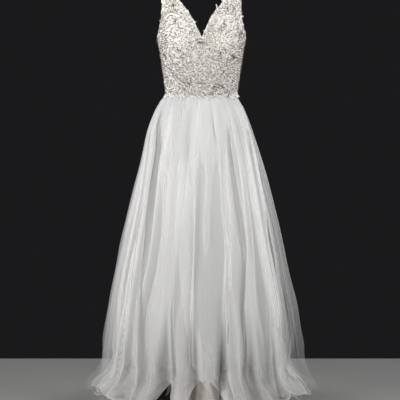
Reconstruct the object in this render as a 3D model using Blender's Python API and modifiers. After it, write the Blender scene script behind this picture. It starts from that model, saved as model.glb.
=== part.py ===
"""Floor-length wedding dress: a V-neck lace bodice on a gathered tulle skirt with a satin underskirt.

Metres, +Z up, the front faces -Y. The origin is midway between the shoulders, at the top of the
straps, where the wearer carries the dress.
"""
import math
from collections import namedtuple

import bmesh
import bpy
from mathutils import Matrix

# Driving dimensions
SHOULDER_TO_FLOOR = 1.447
SHOULDER_TO_WAIST = 0.400
UNDERARM_DROP = 0.2105
FRONT_V_DROP = 0.2105
BACK_V_DROP = 0.262
ARCH_DROP = 0.115
SEAM_GAP = 0.0003
LINING_GAP = 0.0014

# Cloth walls
LACE_WALL = 0.0016
APPLIQUE_WALL = 0.0030
LINING_WALL = 0.0010
TULLE_WALL = 0.0010
SATIN_WALL = 0.0012

# Bust cups, pushed out of the front section
CUP_PUSH = 0.020
CUP_DEG = 35.0
CUP_SPREAD_DEG = 23.0
CUP_DROP = 0.236
CUP_SPREAD = 0.055
CUP_WIDENS = 0.35
CUP_DEEPENS = 1.15

# Scalloped lower edge of the lace, over the gathers
SCALLOPS_PER_QUARTER = 4.5
SCALLOP_HIGH = 0.409
SCALLOP_LOW = 0.427
SCALLOP_UNEVEN = 0.2
SCALLOP_SWAY = 2.3 * math.pi
SCALLOP_TURN = 0.6

# Lace sprays raised on the bodice
SPRAY_RADIUS = 0.019
SPRAY_ROW_PITCH = 0.026
SPRAY_COLUMN_DEG = 17.0
PETALS = 5
PETAL_DEPTH = 0.28
PLAIN_BESIDE_ZIP = 0.0128

# Zip at the centre back
ZIP_SLOT = 0.0032
ZIP_COIL_WIDTH = 0.0024
ZIP_COIL_WALL = 0.0013
ZIP_TOP_DROP = 0.2650
ZIP_FOOT_DROP = 0.4030
SLIDER_LENGTH = 0.0095
SLIDER_WIDTH = 0.0066
SLIDER_THICK = 0.0016
SLIDER_MIDDLE_DROP = 0.2715
COIL_ROWS = 6
EYE_BAR_RADIUS = 0.0005
EYE_BAR_LIFT = 0.0014
BRIDGE_WIDTH = 0.0014
BRIDGE_WALL = 0.0006
BRIDGE_LENGTH = 0.0059
TUNNEL_PLAY = 0.0003
BAR_END_PLAY = 0.0003
PULL_LENGTH = 0.0240
PULL_WIDTH = 0.0052
PULL_THICK = 0.0010
PULL_EYE_WIDTH = 0.0030
PULL_EYE_LENGTH = 0.0042
PULL_EYE_RIM = 0.0004

# Mesh density
BODICE_COLUMNS = 18
LINING_COLUMNS = 9
GATHERS = 40
COLUMNS_PER_GATHER = 5
INNER_GATHERS = 18
INNER_COLUMNS = 72
SATIN_FOLDS = 12
SATIN_COLUMNS = 48

# Unevenness of the gathers: how far they wander round the skirt, and how much their heights differ
GATHER_SWAY = 1.3
GATHER_SWAY_WAVES = 3
GATHER_RIPPLE = 0.9
GATHER_RIPPLE_WAVES = 7
GATHER_UNEVEN = 0.25
GATHER_UNEVEN_WAVES = 5
OUTER_TURN = 0.5
INNER_TURN = 2.1
SATIN_SWAY = 0.8
LIFT_POWER = 6

Section = namedtuple("Section", "drop half_width front back")

# The bodice's inside, from the scallops to the shoulder line
BODICE_SECTIONS = (
    Section(0.430, 0.1418, 0.1145, 0.1120),
    Section(0.415, 0.1322, 0.1052, 0.1022),
    Section(0.405, 0.1258, 0.0990, 0.0960),
    Section(0.400, 0.1245, 0.0975, 0.0945),
    Section(0.365, 0.1280, 0.0985, 0.0950),
    Section(0.323, 0.1350, 0.1030, 0.0985),
    Section(0.281, 0.1410, 0.1080, 0.1020),
    Section(0.240, 0.1475, 0.1130, 0.1050),
    Section(0.2095, 0.1550, 0.1150, 0.1060),
    Section(0.170, 0.1590, 0.1120, 0.1040),
    Section(0.120, 0.1610, 0.1060, 0.1000),
    Section(0.060, 0.1590, 0.1000, 0.0950),
    Section(0.000, 0.1550, 0.0940, 0.0900),
)

# The skirt's outermost ridges, from the waist seam to the floor
SKIRT_SECTIONS = (
    Section(0.395, 0.1236, 0.0967, 0.0937),
    Section(0.405, 0.1245, 0.0974, 0.0944),
    Section(0.430, 0.1392, 0.1115, 0.1090),
    Section(0.456, 0.1550, 0.1245, 0.1250),
    Section(0.540, 0.1885, 0.1520, 0.1580),
    Section(0.707, 0.2350, 0.1960, 0.2100),
    Section(0.875, 0.2740, 0.2320, 0.2540),
    Section(1.042, 0.3080, 0.2650, 0.2960),
    Section(1.210, 0.3390, 0.2940, 0.3350),
    Section(1.293, 0.3520, 0.3080, 0.3540),
    Section(1.340, 0.3560, 0.3150, 0.3660),
    Section(1.377, 0.3700, 0.3280, 0.3850),
    Section(1.423, 0.4100, 0.3600, 0.4350),
    Section(1.447, 0.4250, 0.3720, 0.4600),
)

Depth = namedtuple("Depth", "drop fold gather layer_gap inner_gather satin_fold")

# How deep each layer's folds are, and how far the layers stand apart
DEPTHS = (
    Depth(0.395, 0.0000, 0.0016, 0.0014, 0.0008, 0.0000),
    Depth(0.430, 0.0010, 0.0040, 0.0022, 0.0020, 0.0010),
    Depth(0.540, 0.0060, 0.0070, 0.0040, 0.0040, 0.0060),
    Depth(0.707, 0.0120, 0.0090, 0.0060, 0.0060, 0.0100),
    Depth(0.958, 0.0200, 0.0100, 0.0080, 0.0070, 0.0140),
    Depth(1.210, 0.0290, 0.0100, 0.0090, 0.0080, 0.0180),
    Depth(1.340, 0.0350, 0.0100, 0.0090, 0.0080, 0.0200),
    Depth(1.447, 0.0430, 0.0080, 0.0090, 0.0080, 0.0220),
)

# Share of the main folds' depth that the inner tulle follows
INNER_FOLLOWS = 0.55

Fold = namedtuple("Fold", "waist_deg hem_deg valley")

# Main folds: where each ridge starts and ends round the skirt, and the valley after it.
# Angles run from the front centre towards +X.
FOLDS = (
    Fold(-86, -88, 0.75),
    Fold(-60, -63, 0.90),
    Fold(-37, -37, 0.70),
    Fold(-22, -17, 1.00),
    Fold(2, 5, 0.65),
    Fold(24, 27, 0.95),
    Fold(46, 44, 0.55),
    Fold(63, 61, 0.85),
    Fold(85, 87, 0.80),
    Fold(110, 112, 1.00),
    Fold(136, 133, 0.70),
    Fold(158, 160, 0.90),
    Fold(181, 184, 1.00),
    Fold(205, 203, 0.75),
    Fold(226, 229, 0.95),
    Fold(251, 250, 0.80),
)

Lift = namedtuple("Lift", "middle_deg half_deg rise")

# Where the tulle's hem is caught up off the floor
HEM_LIFTS = (
    Lift(-72, 9, 0.022),
    Lift(-26, 10, 0.050),
    Lift(1, 15, 0.048),
    Lift(37, 8, 0.034),
    Lift(75, 8, 0.018),
    Lift(122, 11, 0.030),
    Lift(171, 12, 0.026),
    Lift(216, 10, 0.034),
    Lift(262, 9, 0.020),
)

EdgePoint = namedtuple("EdgePoint", "drop x")

# Half outlines of the openings, measured out from the centre line
FRONT_NECK = (
    EdgePoint(FRONT_V_DROP, 0.0000),
    EdgePoint(0.176, 0.0175),
    EdgePoint(0.130, 0.0440),
    EdgePoint(0.085, 0.0765),
    EdgePoint(0.045, 0.0950),
    EdgePoint(0.000, 0.1040),
)
BACK_NECK = (
    EdgePoint(BACK_V_DROP, ZIP_SLOT / 2),
    EdgePoint(0.200, 0.0400),
    EdgePoint(0.130, 0.0710),
    EdgePoint(0.085, 0.0865),
    EdgePoint(0.045, 0.0985),
    EdgePoint(0.000, 0.1040),
)
ARMHOLE = (
    EdgePoint(UNDERARM_DROP, 0.1550),
    EdgePoint(0.195, 0.1505),
    EdgePoint(0.177, 0.1462),
    EdgePoint(0.155, 0.1415),
    EdgePoint(0.125, 0.1382),
    EdgePoint(0.072, 0.1378),
    EdgePoint(0.000, 0.1360),
)

# Heights of the rows of points, below the shoulders
FRONT_ROWS = (
    0.400, 0.380, 0.358, 0.335, 0.312, 0.290, 0.268, 0.247, 0.228, 0.2105,
    0.190, 0.168, 0.145, 0.118, 0.088, 0.058, 0.030, 0.010,
)
BACK_ROWS = (
    0.400, 0.375, 0.348, 0.320, 0.291, 0.262, 0.236, 0.2105,
    0.185, 0.158, 0.130, 0.100, 0.070, 0.040, 0.014,
)
LINING_ROWS = FRONT_ROWS[1:13]
SKIRT_ROWS = (1.447, 1.330, 1.050, 0.750, 0.510, 0.430, 0.405, 0.395)
LINING_INSET_DEG = 2.0
LINING_SIDE_INSET_DEG = 6.0
LINING_CROWN = 0.010


def along(rows, key, drop):
    """Value of a table's column at a drop below the shoulders, on a smooth curve with no overshoot."""
    rows = sorted(rows, key=lambda row: row.drop)
    drop = min(max(drop, rows[0].drop), rows[-1].drop)
    values = [getattr(row, key) for row in rows]
    slopes = [
        (b - a) / (upper.drop - lower.drop)
        for a, b, lower, upper in zip(values, values[1:], rows, rows[1:])
    ]
    tangents = [slopes[0]]
    for before, after in zip(slopes, slopes[1:]):
        same_way = before * after > 0
        tangents.append(2 * before * after / (before + after) if same_way else 0.0)
    tangents.append(slopes[-1])
    index = max(i for i in range(len(rows) - 1) if rows[i].drop <= drop)
    span = rows[index + 1].drop - rows[index].drop
    t = (drop - rows[index].drop) / span
    return (
        values[index] * (1 + 2 * t) * (1 - t) ** 2
        + values[index + 1] * t * t * (3 - 2 * t)
        + tangents[index] * span * t * (1 - t) ** 2
        - tangents[index + 1] * span * t * t * (1 - t)
    )


def bell(distance, spread):
    """Smooth bump: 1 at the middle, fading to 0."""
    return math.exp(-((distance / spread) ** 2))


def arch(drop):
    """How far the bodice still stands off the shoulder line, from 1 at the chest to 0 at the top."""
    if drop >= ARCH_DROP:
        return 1.0
    return math.sqrt(max(0.0, 1 - ((ARCH_DROP - drop) / ARCH_DROP) ** 2))


def bodice_point(side, angle, drop, inward=0.0):
    """Point of the bodice's inner face. side is -1 for the front and 1 for the back."""
    degrees = abs(math.degrees(angle))
    depth_key = "front" if side < 0 else "back"
    cup = 0.0
    if side < 0:
        cup = CUP_PUSH * bell(degrees - CUP_DEG, CUP_SPREAD_DEG) * bell(drop - CUP_DROP, CUP_SPREAD)
    across = along(BODICE_SECTIONS, "half_width", drop) + CUP_WIDENS * cup - inward
    depth = (along(BODICE_SECTIONS, depth_key, drop) + CUP_DEEPENS * cup) * arch(drop) - inward
    return (across * math.sin(angle), side * max(depth, 0.0) * math.cos(angle), -drop)


def edge_angle(edge, drop):
    """Angle at which an opening's outline meets the section at this height."""
    share = along(edge, "x", drop) / along(BODICE_SECTIONS, "half_width", drop)
    return math.asin(min(share, 1.0))


def panel_span(neck, drop, slot=0.0):
    """First and last angle of a half panel's row, from the centre or the neck to the side or the armhole."""
    half_width = along(BODICE_SECTIONS, "half_width", drop)
    first = math.asin(slot / half_width)
    if drop < neck[0].drop:
        first = max(first, edge_angle(neck, drop))
    last = math.pi / 2 - SEAM_GAP / 2 / half_width
    if drop < UNDERARM_DROP:
        last = min(last, edge_angle(ARMHOLE, drop))
    return first, last


def scallop_drop(u):
    """Lower edge of the lace along a quarter of the waist, in uneven scallops."""
    wave = abs(math.sin(math.pi * SCALLOPS_PER_QUARTER * u))
    uneven = 1 - SCALLOP_UNEVEN * (1 - math.cos(SCALLOP_SWAY * u + SCALLOP_TURN))
    return SCALLOP_HIGH + (SCALLOP_LOW - SCALLOP_HIGH) * uneven * math.sqrt(wave)


def spray_height(angle, drop):
    """Raised share of the lace, 0 on the ground net to 1 on the middle of a spray of petals."""
    row = round(drop / SPRAY_ROW_PITCH)
    best = 0.0
    for near_row in (row - 1, row, row + 1):
        shift = 0.5 if near_row % 2 else 0.0
        column = round(math.degrees(angle) / SPRAY_COLUMN_DEG - shift)
        for near_column in (column - 1, column, column + 1):
            middle = math.radians((near_column + shift) * SPRAY_COLUMN_DEG)
            across = (angle - middle) * along(BODICE_SECTIONS, "half_width", drop)
            up = near_row * SPRAY_ROW_PITCH - drop
            turn = math.atan2(up, across) + near_row + 2 * near_column
            reach = SPRAY_RADIUS * (1 - PETAL_DEPTH * (1 - math.cos(PETALS * turn)))
            best = max(best, 1 - math.hypot(across, up) / reach)
    return math.sqrt(best) if best > 0 else 0.0


def new_object(name, mesh, collection, material):
    """Object of a mesh, in the dress's collection, with its material."""
    item = bpy.data.objects.new(name, mesh)
    collection.objects.link(item)
    mesh.materials.append(material)
    return item


def shaped_grid(name, columns, rows, place, closed=False):
    """Mesh of a flat grid whose points are moved to place(u, v), with its sides welded if closed."""
    mesh = bpy.data.meshes.new(name)
    shape = bmesh.new()
    bmesh.ops.create_grid(shape, x_segments=columns, y_segments=rows, size=0.5)
    for vert in shape.verts:
        vert.co = place(vert.co.x + 0.5, vert.co.y + 0.5)
    if closed:
        bmesh.ops.remove_doubles(shape, verts=shape.verts, dist=1e-6)
    for face in shape.faces:
        face.smooth = True
    shape.to_mesh(mesh)
    shape.free()
    return mesh


def thicken(item, thickness, outward, group=""):
    """Solidify an open surface, out of or into its front side, with the rim closed."""
    wall = item.modifiers.new("wall", "SOLIDIFY")
    wall.thickness = thickness
    wall.offset = 1.0 if outward else -1.0
    wall.use_even_offset = not group
    wall.vertex_group = group
    return wall


def mirror(item):
    """Mirror a half across the centre plane, joined where it meets it."""
    half = item.modifiers.new("other half", "MIRROR")
    half.use_axis = (True, False, False)
    half.use_clip = True
    half.merge_threshold = 0.00001
    return half


def lace_panel(name, rows, side, neck, slot, collection, material):
    """Lace wall of a half panel, plain inside, with its sprays raised outside."""

    def place(u, v):
        index = round(v * (len(rows) + 1))
        if index > len(rows):
            first, last = panel_span(neck, 0.0, slot)
            angle = first + (last - first) * u
            x = bodice_point(side, angle, 0.0)[0]
            return (x, side * SEAM_GAP / 2, 0.0)
        drop = scallop_drop(u) if index == 0 else rows[index - 1]
        first, last = panel_span(neck, drop, slot)
        return bodice_point(side, first + (last - first) * u, drop)

    mesh = shaped_grid(name, BODICE_COLUMNS, len(rows) + 1, place)
    item = new_object(name, mesh, collection, material)
    group = item.vertex_groups.new(name="lace height")
    for vert in mesh.vertices:
        angle = math.atan2(vert.co.x, abs(vert.co.y) + 1e-9)
        edge = 1.0 if abs(vert.co.x) > PLAIN_BESIDE_ZIP or side < 0 else 0.0
        height = LACE_WALL + (APPLIQUE_WALL - LACE_WALL) * edge * spray_height(angle, -vert.co.z)
        group.add([vert.index], height / APPLIQUE_WALL, "REPLACE")
    return item


def bodice_front(collection, material):
    """Front of the bodice with its straps, one piece across the centre."""
    item = lace_panel("bodice_front", FRONT_ROWS, -1, FRONT_NECK, 0.0, collection, material)
    mirror(item)
    thicken(item, APPLIQUE_WALL, True, "lace height")


def bodice_backs(collection, material):
    """Two back panels, parted at the zip, up over the shoulders to the shoulder seam."""
    for name, turn in (("bodice_back_right", 1), ("bodice_back_left", -1)):
        item = lace_panel(name, BACK_ROWS, 1, BACK_NECK, ZIP_SLOT / 2, collection, material)
        if turn > 0:
            item.data.flip_normals()
        else:
            for vert in item.data.vertices:
                vert.co.x *= -1
        thicken(item, APPLIQUE_WALL, True, "lace height")


def front_lining(collection, material):
    """Sweetheart lining that shows through the lace, up to the tops of the cups."""

    def place(u, v):
        drop = LINING_ROWS[round(v * (len(LINING_ROWS) - 1))]
        first, last = panel_span(FRONT_NECK, drop)
        if drop < FRONT_V_DROP:
            first += math.radians(LINING_INSET_DEG)
        crown = LINING_CROWN * (1 - (2 * u - 1) ** 2) if drop == LINING_ROWS[-1] else 0.0
        angle = first + (last - math.radians(LINING_SIDE_INSET_DEG) - first) * u
        return bodice_point(-1, angle, drop - crown, LINING_GAP)

    mesh = shaped_grid("front_lining", LINING_COLUMNS, len(LINING_ROWS) - 1, place)
    item = new_object("front_lining", mesh, collection, material)
    mirror(item)
    thicken(item, LINING_WALL, False)


def skirt_point(angle, drop, inward):
    """Point of the skirt's section, moved in from its outermost ridges."""
    depth_key = "front" if math.cos(angle) > 0 else "back"
    across = along(SKIRT_SECTIONS, "half_width", drop) - inward
    depth = along(SKIRT_SECTIONS, depth_key, drop) - inward
    return (across * math.sin(angle), -depth * math.cos(angle), -drop)


def fold_valley(angle, drop):
    """Share of the main folds' depth at an angle, 0 on a ridge."""
    way_down = (drop - SHOULDER_TO_WAIST) / (SHOULDER_TO_FLOOR - SHOULDER_TO_WAIST)
    ridges = [fold.waist_deg + (fold.hem_deg - fold.waist_deg) * way_down for fold in FOLDS]
    degrees = (math.degrees(angle) - ridges[0]) % 360 + ridges[0]
    index = max(i for i, ridge in enumerate(ridges) if ridge <= degrees)
    after = ridges[index + 1] if index + 1 < len(ridges) else ridges[0] + 360
    share = (degrees - ridges[index]) / (after - ridges[index])
    return FOLDS[index].valley * math.sin(math.pi * share) ** 2


def gather_wave(angle, count, turn):
    """Share of a gather's depth at an angle, in waves of uneven width and height."""
    phase = count * angle + GATHER_SWAY * math.sin(GATHER_SWAY_WAVES * angle + turn)
    phase += GATHER_RIPPLE * math.sin(GATHER_RIPPLE_WAVES * angle + 2 * turn)
    height = 1 - GATHER_UNEVEN * (1 - math.sin(GATHER_UNEVEN_WAVES * angle + turn))
    return 1 - height * (0.5 + 0.5 * math.cos(phase))


def hem_rise(angle):
    """How far the tulle's hem is caught up off the floor."""
    degrees = math.degrees(angle)
    rise = 0.0
    for lift in HEM_LIFTS:
        off = (degrees - lift.middle_deg + 180) % 360 - 180
        if abs(off) < lift.half_deg:
            rise = max(rise, lift.rise * math.cos(math.pi / 2 * off / lift.half_deg) ** 2)
    return rise


def outer_inward(angle, drop):
    """How far the outer tulle lies inside the skirt's outline."""
    fold = along(DEPTHS, "fold", drop) * fold_valley(angle, drop)
    return fold + along(DEPTHS, "gather", drop) * gather_wave(angle, GATHERS, OUTER_TURN)


def inner_inward(angle, drop):
    """How far the inner tulle lies inside the skirt's outline: behind the outer one everywhere."""
    valley = (1 - INNER_FOLLOWS) + INNER_FOLLOWS * fold_valley(angle, drop)
    fold = along(DEPTHS, "fold", drop) * valley
    behind = fold + along(DEPTHS, "gather", drop) + along(DEPTHS, "layer_gap", drop)
    return behind + along(DEPTHS, "inner_gather", drop) * gather_wave(angle, INNER_GATHERS, INNER_TURN)


def satin_inward(angle, drop):
    """How far the satin underskirt lies inside the skirt's outline: behind all the tulle."""
    keys = ("fold", "gather", "layer_gap", "layer_gap", "inner_gather")
    behind = sum(along(DEPTHS, key, drop) for key in keys)
    wave = 0.5 - 0.5 * math.cos(SATIN_FOLDS * angle + SATIN_SWAY * math.sin(2 * angle))
    return behind + along(DEPTHS, "satin_fold", drop) * wave


def skirt_layer(name, columns, inward, hem_share, wall, collection, material):
    """One gathered tube of the skirt, from the waist seam to its hem."""
    top = SKIRT_ROWS[-1]
    hem = SKIRT_ROWS[0]

    def place(u, v):
        angle = 2 * math.pi * (u % 1.0)
        drop = SKIRT_ROWS[round(v * (len(SKIRT_ROWS) - 1))]
        way_down = (drop - top) / (hem - top)
        drop -= hem_share * hem_rise(angle) * way_down ** LIFT_POWER
        return skirt_point(angle, drop, inward(angle, drop))

    mesh = shaped_grid(name, columns, len(SKIRT_ROWS) - 1, place, closed=True)
    item = new_object(name, mesh, collection, material)
    thicken(item, wall, False)


def zip_pieces(collection, material):
    """Closed zip at the centre back: the coil between the panels, the slider and its pull tab."""

    def place(u, v):
        drop = ZIP_FOOT_DROP + (ZIP_TOP_DROP - ZIP_FOOT_DROP) * v
        x, y, z = bodice_point(1, 0.0, drop)
        return (ZIP_COIL_WIDTH * (0.5 - u), y, z)

    coil = new_object("zip_coil", shaped_grid("zip_coil", 1, COIL_ROWS, place), collection, material)
    thicken(coil, ZIP_COIL_WALL, True)

    back = bodice_point(1, 0.0, SLIDER_MIDDLE_DROP)[1] + LACE_WALL + 2 * SEAM_GAP
    top = back + SLIDER_THICK
    bar_y = top + EYE_BAR_LIFT
    slider = add_box(
        "zip_slider", (SLIDER_WIDTH, SLIDER_THICK, SLIDER_LENGTH),
        (0, back + SLIDER_THICK / 2, -SLIDER_MIDDLE_DROP), collection, material,
    )
    bridge_reach = bar_y + EYE_BAR_RADIUS + SEAM_GAP + BRIDGE_WALL
    bridge = add_box(
        "bridge_block", (BRIDGE_WIDTH, bridge_reach - top + BRIDGE_WALL, BRIDGE_LENGTH),
        (0, (bridge_reach + top - BRIDGE_WALL) / 2, -SLIDER_MIDDLE_DROP), collection, material,
    )
    tunnel = 2 * (EYE_BAR_RADIUS + SEAM_GAP + TUNNEL_PLAY)
    opening = add_box(
        "bridge_opening", (BRIDGE_WIDTH * 3, bridge_reach - BRIDGE_WALL - top, tunnel),
        (0, (bridge_reach - BRIDGE_WALL + top) / 2, -SLIDER_MIDDLE_DROP), collection, material,
    )
    hide_cutter(bridge)
    hide_cutter(opening)
    boolean(bridge, "DIFFERENCE", opening)
    boolean(slider, "UNION", bridge)

    pull_tab(bar_y, collection, material)


def pull_tab(bar_y, collection, material):
    """Flat tab whose eye has a round bar under the slider's bridge. Its origin is on that bar."""
    hinge = (0, bar_y, -SLIDER_MIDDLE_DROP)
    tab = add_box(
        "zip_pull", (PULL_WIDTH, PULL_THICK, PULL_LENGTH),
        (0, bar_y, -SLIDER_MIDDLE_DROP - PULL_LENGTH / 2), collection, material,
    )
    tab.data.transform(Matrix.Translation((0, 0, -PULL_LENGTH / 2)))
    tab.location = hinge
    eye = add_box(
        "pull_eye", (PULL_EYE_WIDTH, PULL_THICK * 3, PULL_EYE_LENGTH),
        (0, bar_y, -SLIDER_MIDDLE_DROP + PULL_EYE_RIM - PULL_EYE_LENGTH / 2), collection, material,
    )
    bpy.ops.mesh.primitive_cylinder_add(
        vertices=12, radius=EYE_BAR_RADIUS, depth=PULL_WIDTH - 2 * BAR_END_PLAY,
        location=hinge, rotation=(0, math.pi / 2, 0),
    )
    bar = bpy.context.object
    bar.name = "pull_bar"
    move_to(bar, collection)
    hide_cutter(eye)
    hide_cutter(bar)
    boolean(tab, "DIFFERENCE", eye)
    boolean(tab, "UNION", bar)


def move_to(item, collection):
    """Keep an object that an operator made in the given collection only."""
    for other in item.users_collection:
        other.objects.unlink(item)
    collection.objects.link(item)


def add_box(name, size, location, collection, material):
    """Box primitive of a size, with its scale applied."""
    bpy.ops.mesh.primitive_cube_add(size=1, location=location)
    item = bpy.context.object
    item.name = name
    for vert in item.data.vertices:
        vert.co.x *= size[0]
        vert.co.y *= size[1]
        vert.co.z *= size[2]
    item.data.materials.append(material)
    move_to(item, collection)
    return item


def hide_cutter(item):
    """Leave a Boolean's helper out of the dress."""
    item.hide_render = True
    item.display_type = "WIRE"


def boolean(item, operation, other):
    """Cut a piece by a helper, or join the two."""
    step = item.modifiers.new(operation.lower(), "BOOLEAN")
    step.operation = operation
    step.solver = "EXACT"
    step.object = other


def finish(name, colour, roughness, metallic=0.0):
    """Principled material of one cloth or metal."""
    material = bpy.data.materials.new(name)
    material.use_nodes = True
    shader = material.node_tree.nodes["Principled BSDF"]
    shader.inputs["Base Color"].default_value = (*colour, 1)
    shader.inputs["Roughness"].default_value = roughness
    shader.inputs["Metallic"].default_value = metallic
    return material


def main():
    for item in list(bpy.data.objects):
        bpy.data.objects.remove(item)
    dress = bpy.data.collections.new("wedding dress")
    bpy.context.scene.collection.children.link(dress)
    lace = finish("beaded lace", (0.86, 0.83, 0.78), 0.6)
    lining = finish("ivory lining", (0.88, 0.85, 0.80), 0.45)
    tulle = finish("tulle", (0.88, 0.88, 0.87), 0.8)
    satin = finish("satin", (0.80, 0.75, 0.70), 0.35)
    metal = finish("zip metal", (0.75, 0.73, 0.70), 0.35, 1.0)

    bodice_front(dress, lace)
    bodice_backs(dress, lace)
    front_lining(dress, lining)
    outer_columns = GATHERS * COLUMNS_PER_GATHER
    skirt_layer("tulle_outer", outer_columns, outer_inward, 1.0, TULLE_WALL, dress, tulle)
    skirt_layer("tulle_inner", INNER_COLUMNS, inner_inward, 0.6, TULLE_WALL, dress, tulle)
    skirt_layer("underskirt", SATIN_COLUMNS, satin_inward, 0.0, SATIN_WALL, dress, satin)
    zip_pieces(dress, metal)


main()
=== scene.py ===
"""Looks of the wedding dress: sheer gathered tulle over satin, and a corded, beaded lace bodice."""

import math
import random
from collections import namedtuple

import bpy
import numpy as np
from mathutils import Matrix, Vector
from mathutils.kdtree import KDTree


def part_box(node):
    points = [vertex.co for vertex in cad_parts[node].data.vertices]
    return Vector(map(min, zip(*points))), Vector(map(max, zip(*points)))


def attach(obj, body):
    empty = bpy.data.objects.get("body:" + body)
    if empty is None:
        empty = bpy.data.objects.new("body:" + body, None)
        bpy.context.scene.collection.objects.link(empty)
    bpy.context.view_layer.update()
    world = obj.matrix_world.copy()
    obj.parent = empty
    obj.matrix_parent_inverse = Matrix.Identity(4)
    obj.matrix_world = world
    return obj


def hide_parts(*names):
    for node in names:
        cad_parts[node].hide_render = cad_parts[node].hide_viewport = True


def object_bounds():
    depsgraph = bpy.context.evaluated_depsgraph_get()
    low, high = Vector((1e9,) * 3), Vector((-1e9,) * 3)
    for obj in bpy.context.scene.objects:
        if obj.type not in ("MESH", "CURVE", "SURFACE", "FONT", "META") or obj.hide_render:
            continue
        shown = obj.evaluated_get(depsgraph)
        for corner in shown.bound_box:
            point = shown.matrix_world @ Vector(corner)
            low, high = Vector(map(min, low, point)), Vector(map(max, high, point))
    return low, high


bl_info = {
    "name": "Wedding Dress",
    "version": (1, 0, 0),
    "blender": (4, 5, 0),
    "location": "3D View > Sidebar > Wedding Dress",
    "description": "Dresses the packed gown in tulle, satin, corded lace and beads",
    "category": "Object",
}

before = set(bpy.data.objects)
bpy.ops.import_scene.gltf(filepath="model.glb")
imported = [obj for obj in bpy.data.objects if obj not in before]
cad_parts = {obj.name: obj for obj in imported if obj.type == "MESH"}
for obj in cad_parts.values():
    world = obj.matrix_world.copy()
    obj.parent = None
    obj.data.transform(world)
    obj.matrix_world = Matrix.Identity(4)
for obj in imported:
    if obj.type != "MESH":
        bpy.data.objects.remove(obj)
CAD_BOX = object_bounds()
BODY = "dress"
MM = 0.001

HEM_DROP = -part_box("underskirt")[0].z
WAIST_DROP = -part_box("tulle_outer")[1].z

Section = namedtuple("Section", "drop half_width front back")

# The bodice's inner face, from under the scallops to the shoulder line
BODICE = (
    Section(0.430, 0.1418, 0.1145, 0.1120),
    Section(0.415, 0.1322, 0.1052, 0.1022),
    Section(0.405, 0.1234, 0.0990, 0.0960),
    Section(0.400, 0.1220, 0.0975, 0.0945),
    Section(0.365, 0.1252, 0.0985, 0.0950),
    Section(0.323, 0.1320, 0.1030, 0.0985),
    Section(0.281, 0.1378, 0.1080, 0.1020),
    Section(0.240, 0.1445, 0.1130, 0.1050),
    Section(0.2095, 0.1515, 0.1150, 0.1060),
    Section(0.170, 0.1560, 0.1120, 0.1040),
    Section(0.120, 0.1580, 0.1060, 0.1000),
    Section(0.060, 0.1560, 0.1000, 0.0950),
    Section(0.000, 0.1520, 0.0940, 0.0900),
)

# The skirt's outermost ridges, from the waist seam to the floor
SKIRT = (
    Section(0.395, 0.1236, 0.0967, 0.0937),
    Section(0.405, 0.1245, 0.0974, 0.0944),
    Section(0.430, 0.1392, 0.1115, 0.1090),
    Section(0.456, 0.1550, 0.1245, 0.1250),
    Section(0.540, 0.1885, 0.1520, 0.1580),
    Section(0.707, 0.2350, 0.1960, 0.2100),
    Section(0.875, 0.2740, 0.2320, 0.2540),
    Section(1.042, 0.3080, 0.2650, 0.2960),
    Section(1.210, 0.3390, 0.2940, 0.3350),
    Section(1.293, 0.3520, 0.3080, 0.3540),
    Section(1.340, 0.3560, 0.3150, 0.3660),
    Section(1.377, 0.3700, 0.3280, 0.3850),
    Section(1.423, 0.4100, 0.3600, 0.4350),
    Section(1.447, 0.4250, 0.3720, 0.4600),
)

EdgePoint = namedtuple("EdgePoint", "drop x")

# Half outlines of the openings, measured out from the centre line
FRONT_NECK = (
    EdgePoint(0.2190, 0.0000),
    EdgePoint(0.178, 0.0185),
    EdgePoint(0.130, 0.0450),
    EdgePoint(0.085, 0.0785),
    EdgePoint(0.045, 0.0970),
    EdgePoint(0.000, 0.1055),
)
BACK_NECK = (
    EdgePoint(0.262, 0.0016),
    EdgePoint(0.200, 0.0400),
    EdgePoint(0.130, 0.0710),
    EdgePoint(0.085, 0.0865),
    EdgePoint(0.045, 0.0985),
    EdgePoint(0.000, 0.1040),
)
ARMHOLE = (
    EdgePoint(0.2105, 0.1515),
    EdgePoint(0.195, 0.1470),
    EdgePoint(0.177, 0.1428),
    EdgePoint(0.155, 0.1382),
    EdgePoint(0.125, 0.1350),
    EdgePoint(0.072, 0.1342),
    EdgePoint(0.000, 0.1322),
)
UNDERARM_DROP = 0.2105
ARCH_DROP = 0.115
SCALLOP_HIGH = 0.405
SCALLOP_LOW = 0.417
SIDE_LIFT = 0.009
NET_SHORT = 0.004
SCALLOPS_PER_QUARTER = 4.5
ZIP_HALF_GAP = 1.6 * MM
ZIP_CLEAR_DEG = 1.3
LINING_TOP = 0.150
LINING_CROWN = 0.014
LINING_LOW = 0.396
LINING_GAP = 1.4 * MM
LINING_INSET_DEG = 2.0
TOOTH_WIDTH = 2.0 * MM
TOOTH_HIGH = 0.9 * MM
TOOTH_STEP = 1.3 * MM
TOOTH_OUT = 1.3 * MM

# Bust cups, pushed out of the front section
CUP_PUSH = 0.020
CUP_DEG = 35.0
CUP_SPREAD_DEG = 23.0
CUP_DROP = 0.236
CUP_SPREAD = 0.055

# Heights at which each crease's place round the skirt is given
CREASE_DROPS = (0.42, 0.65, 0.90, 1.15, 1.42)

Fold = namedtuple("Fold", "a b c d e lean depth starts ends")

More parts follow.
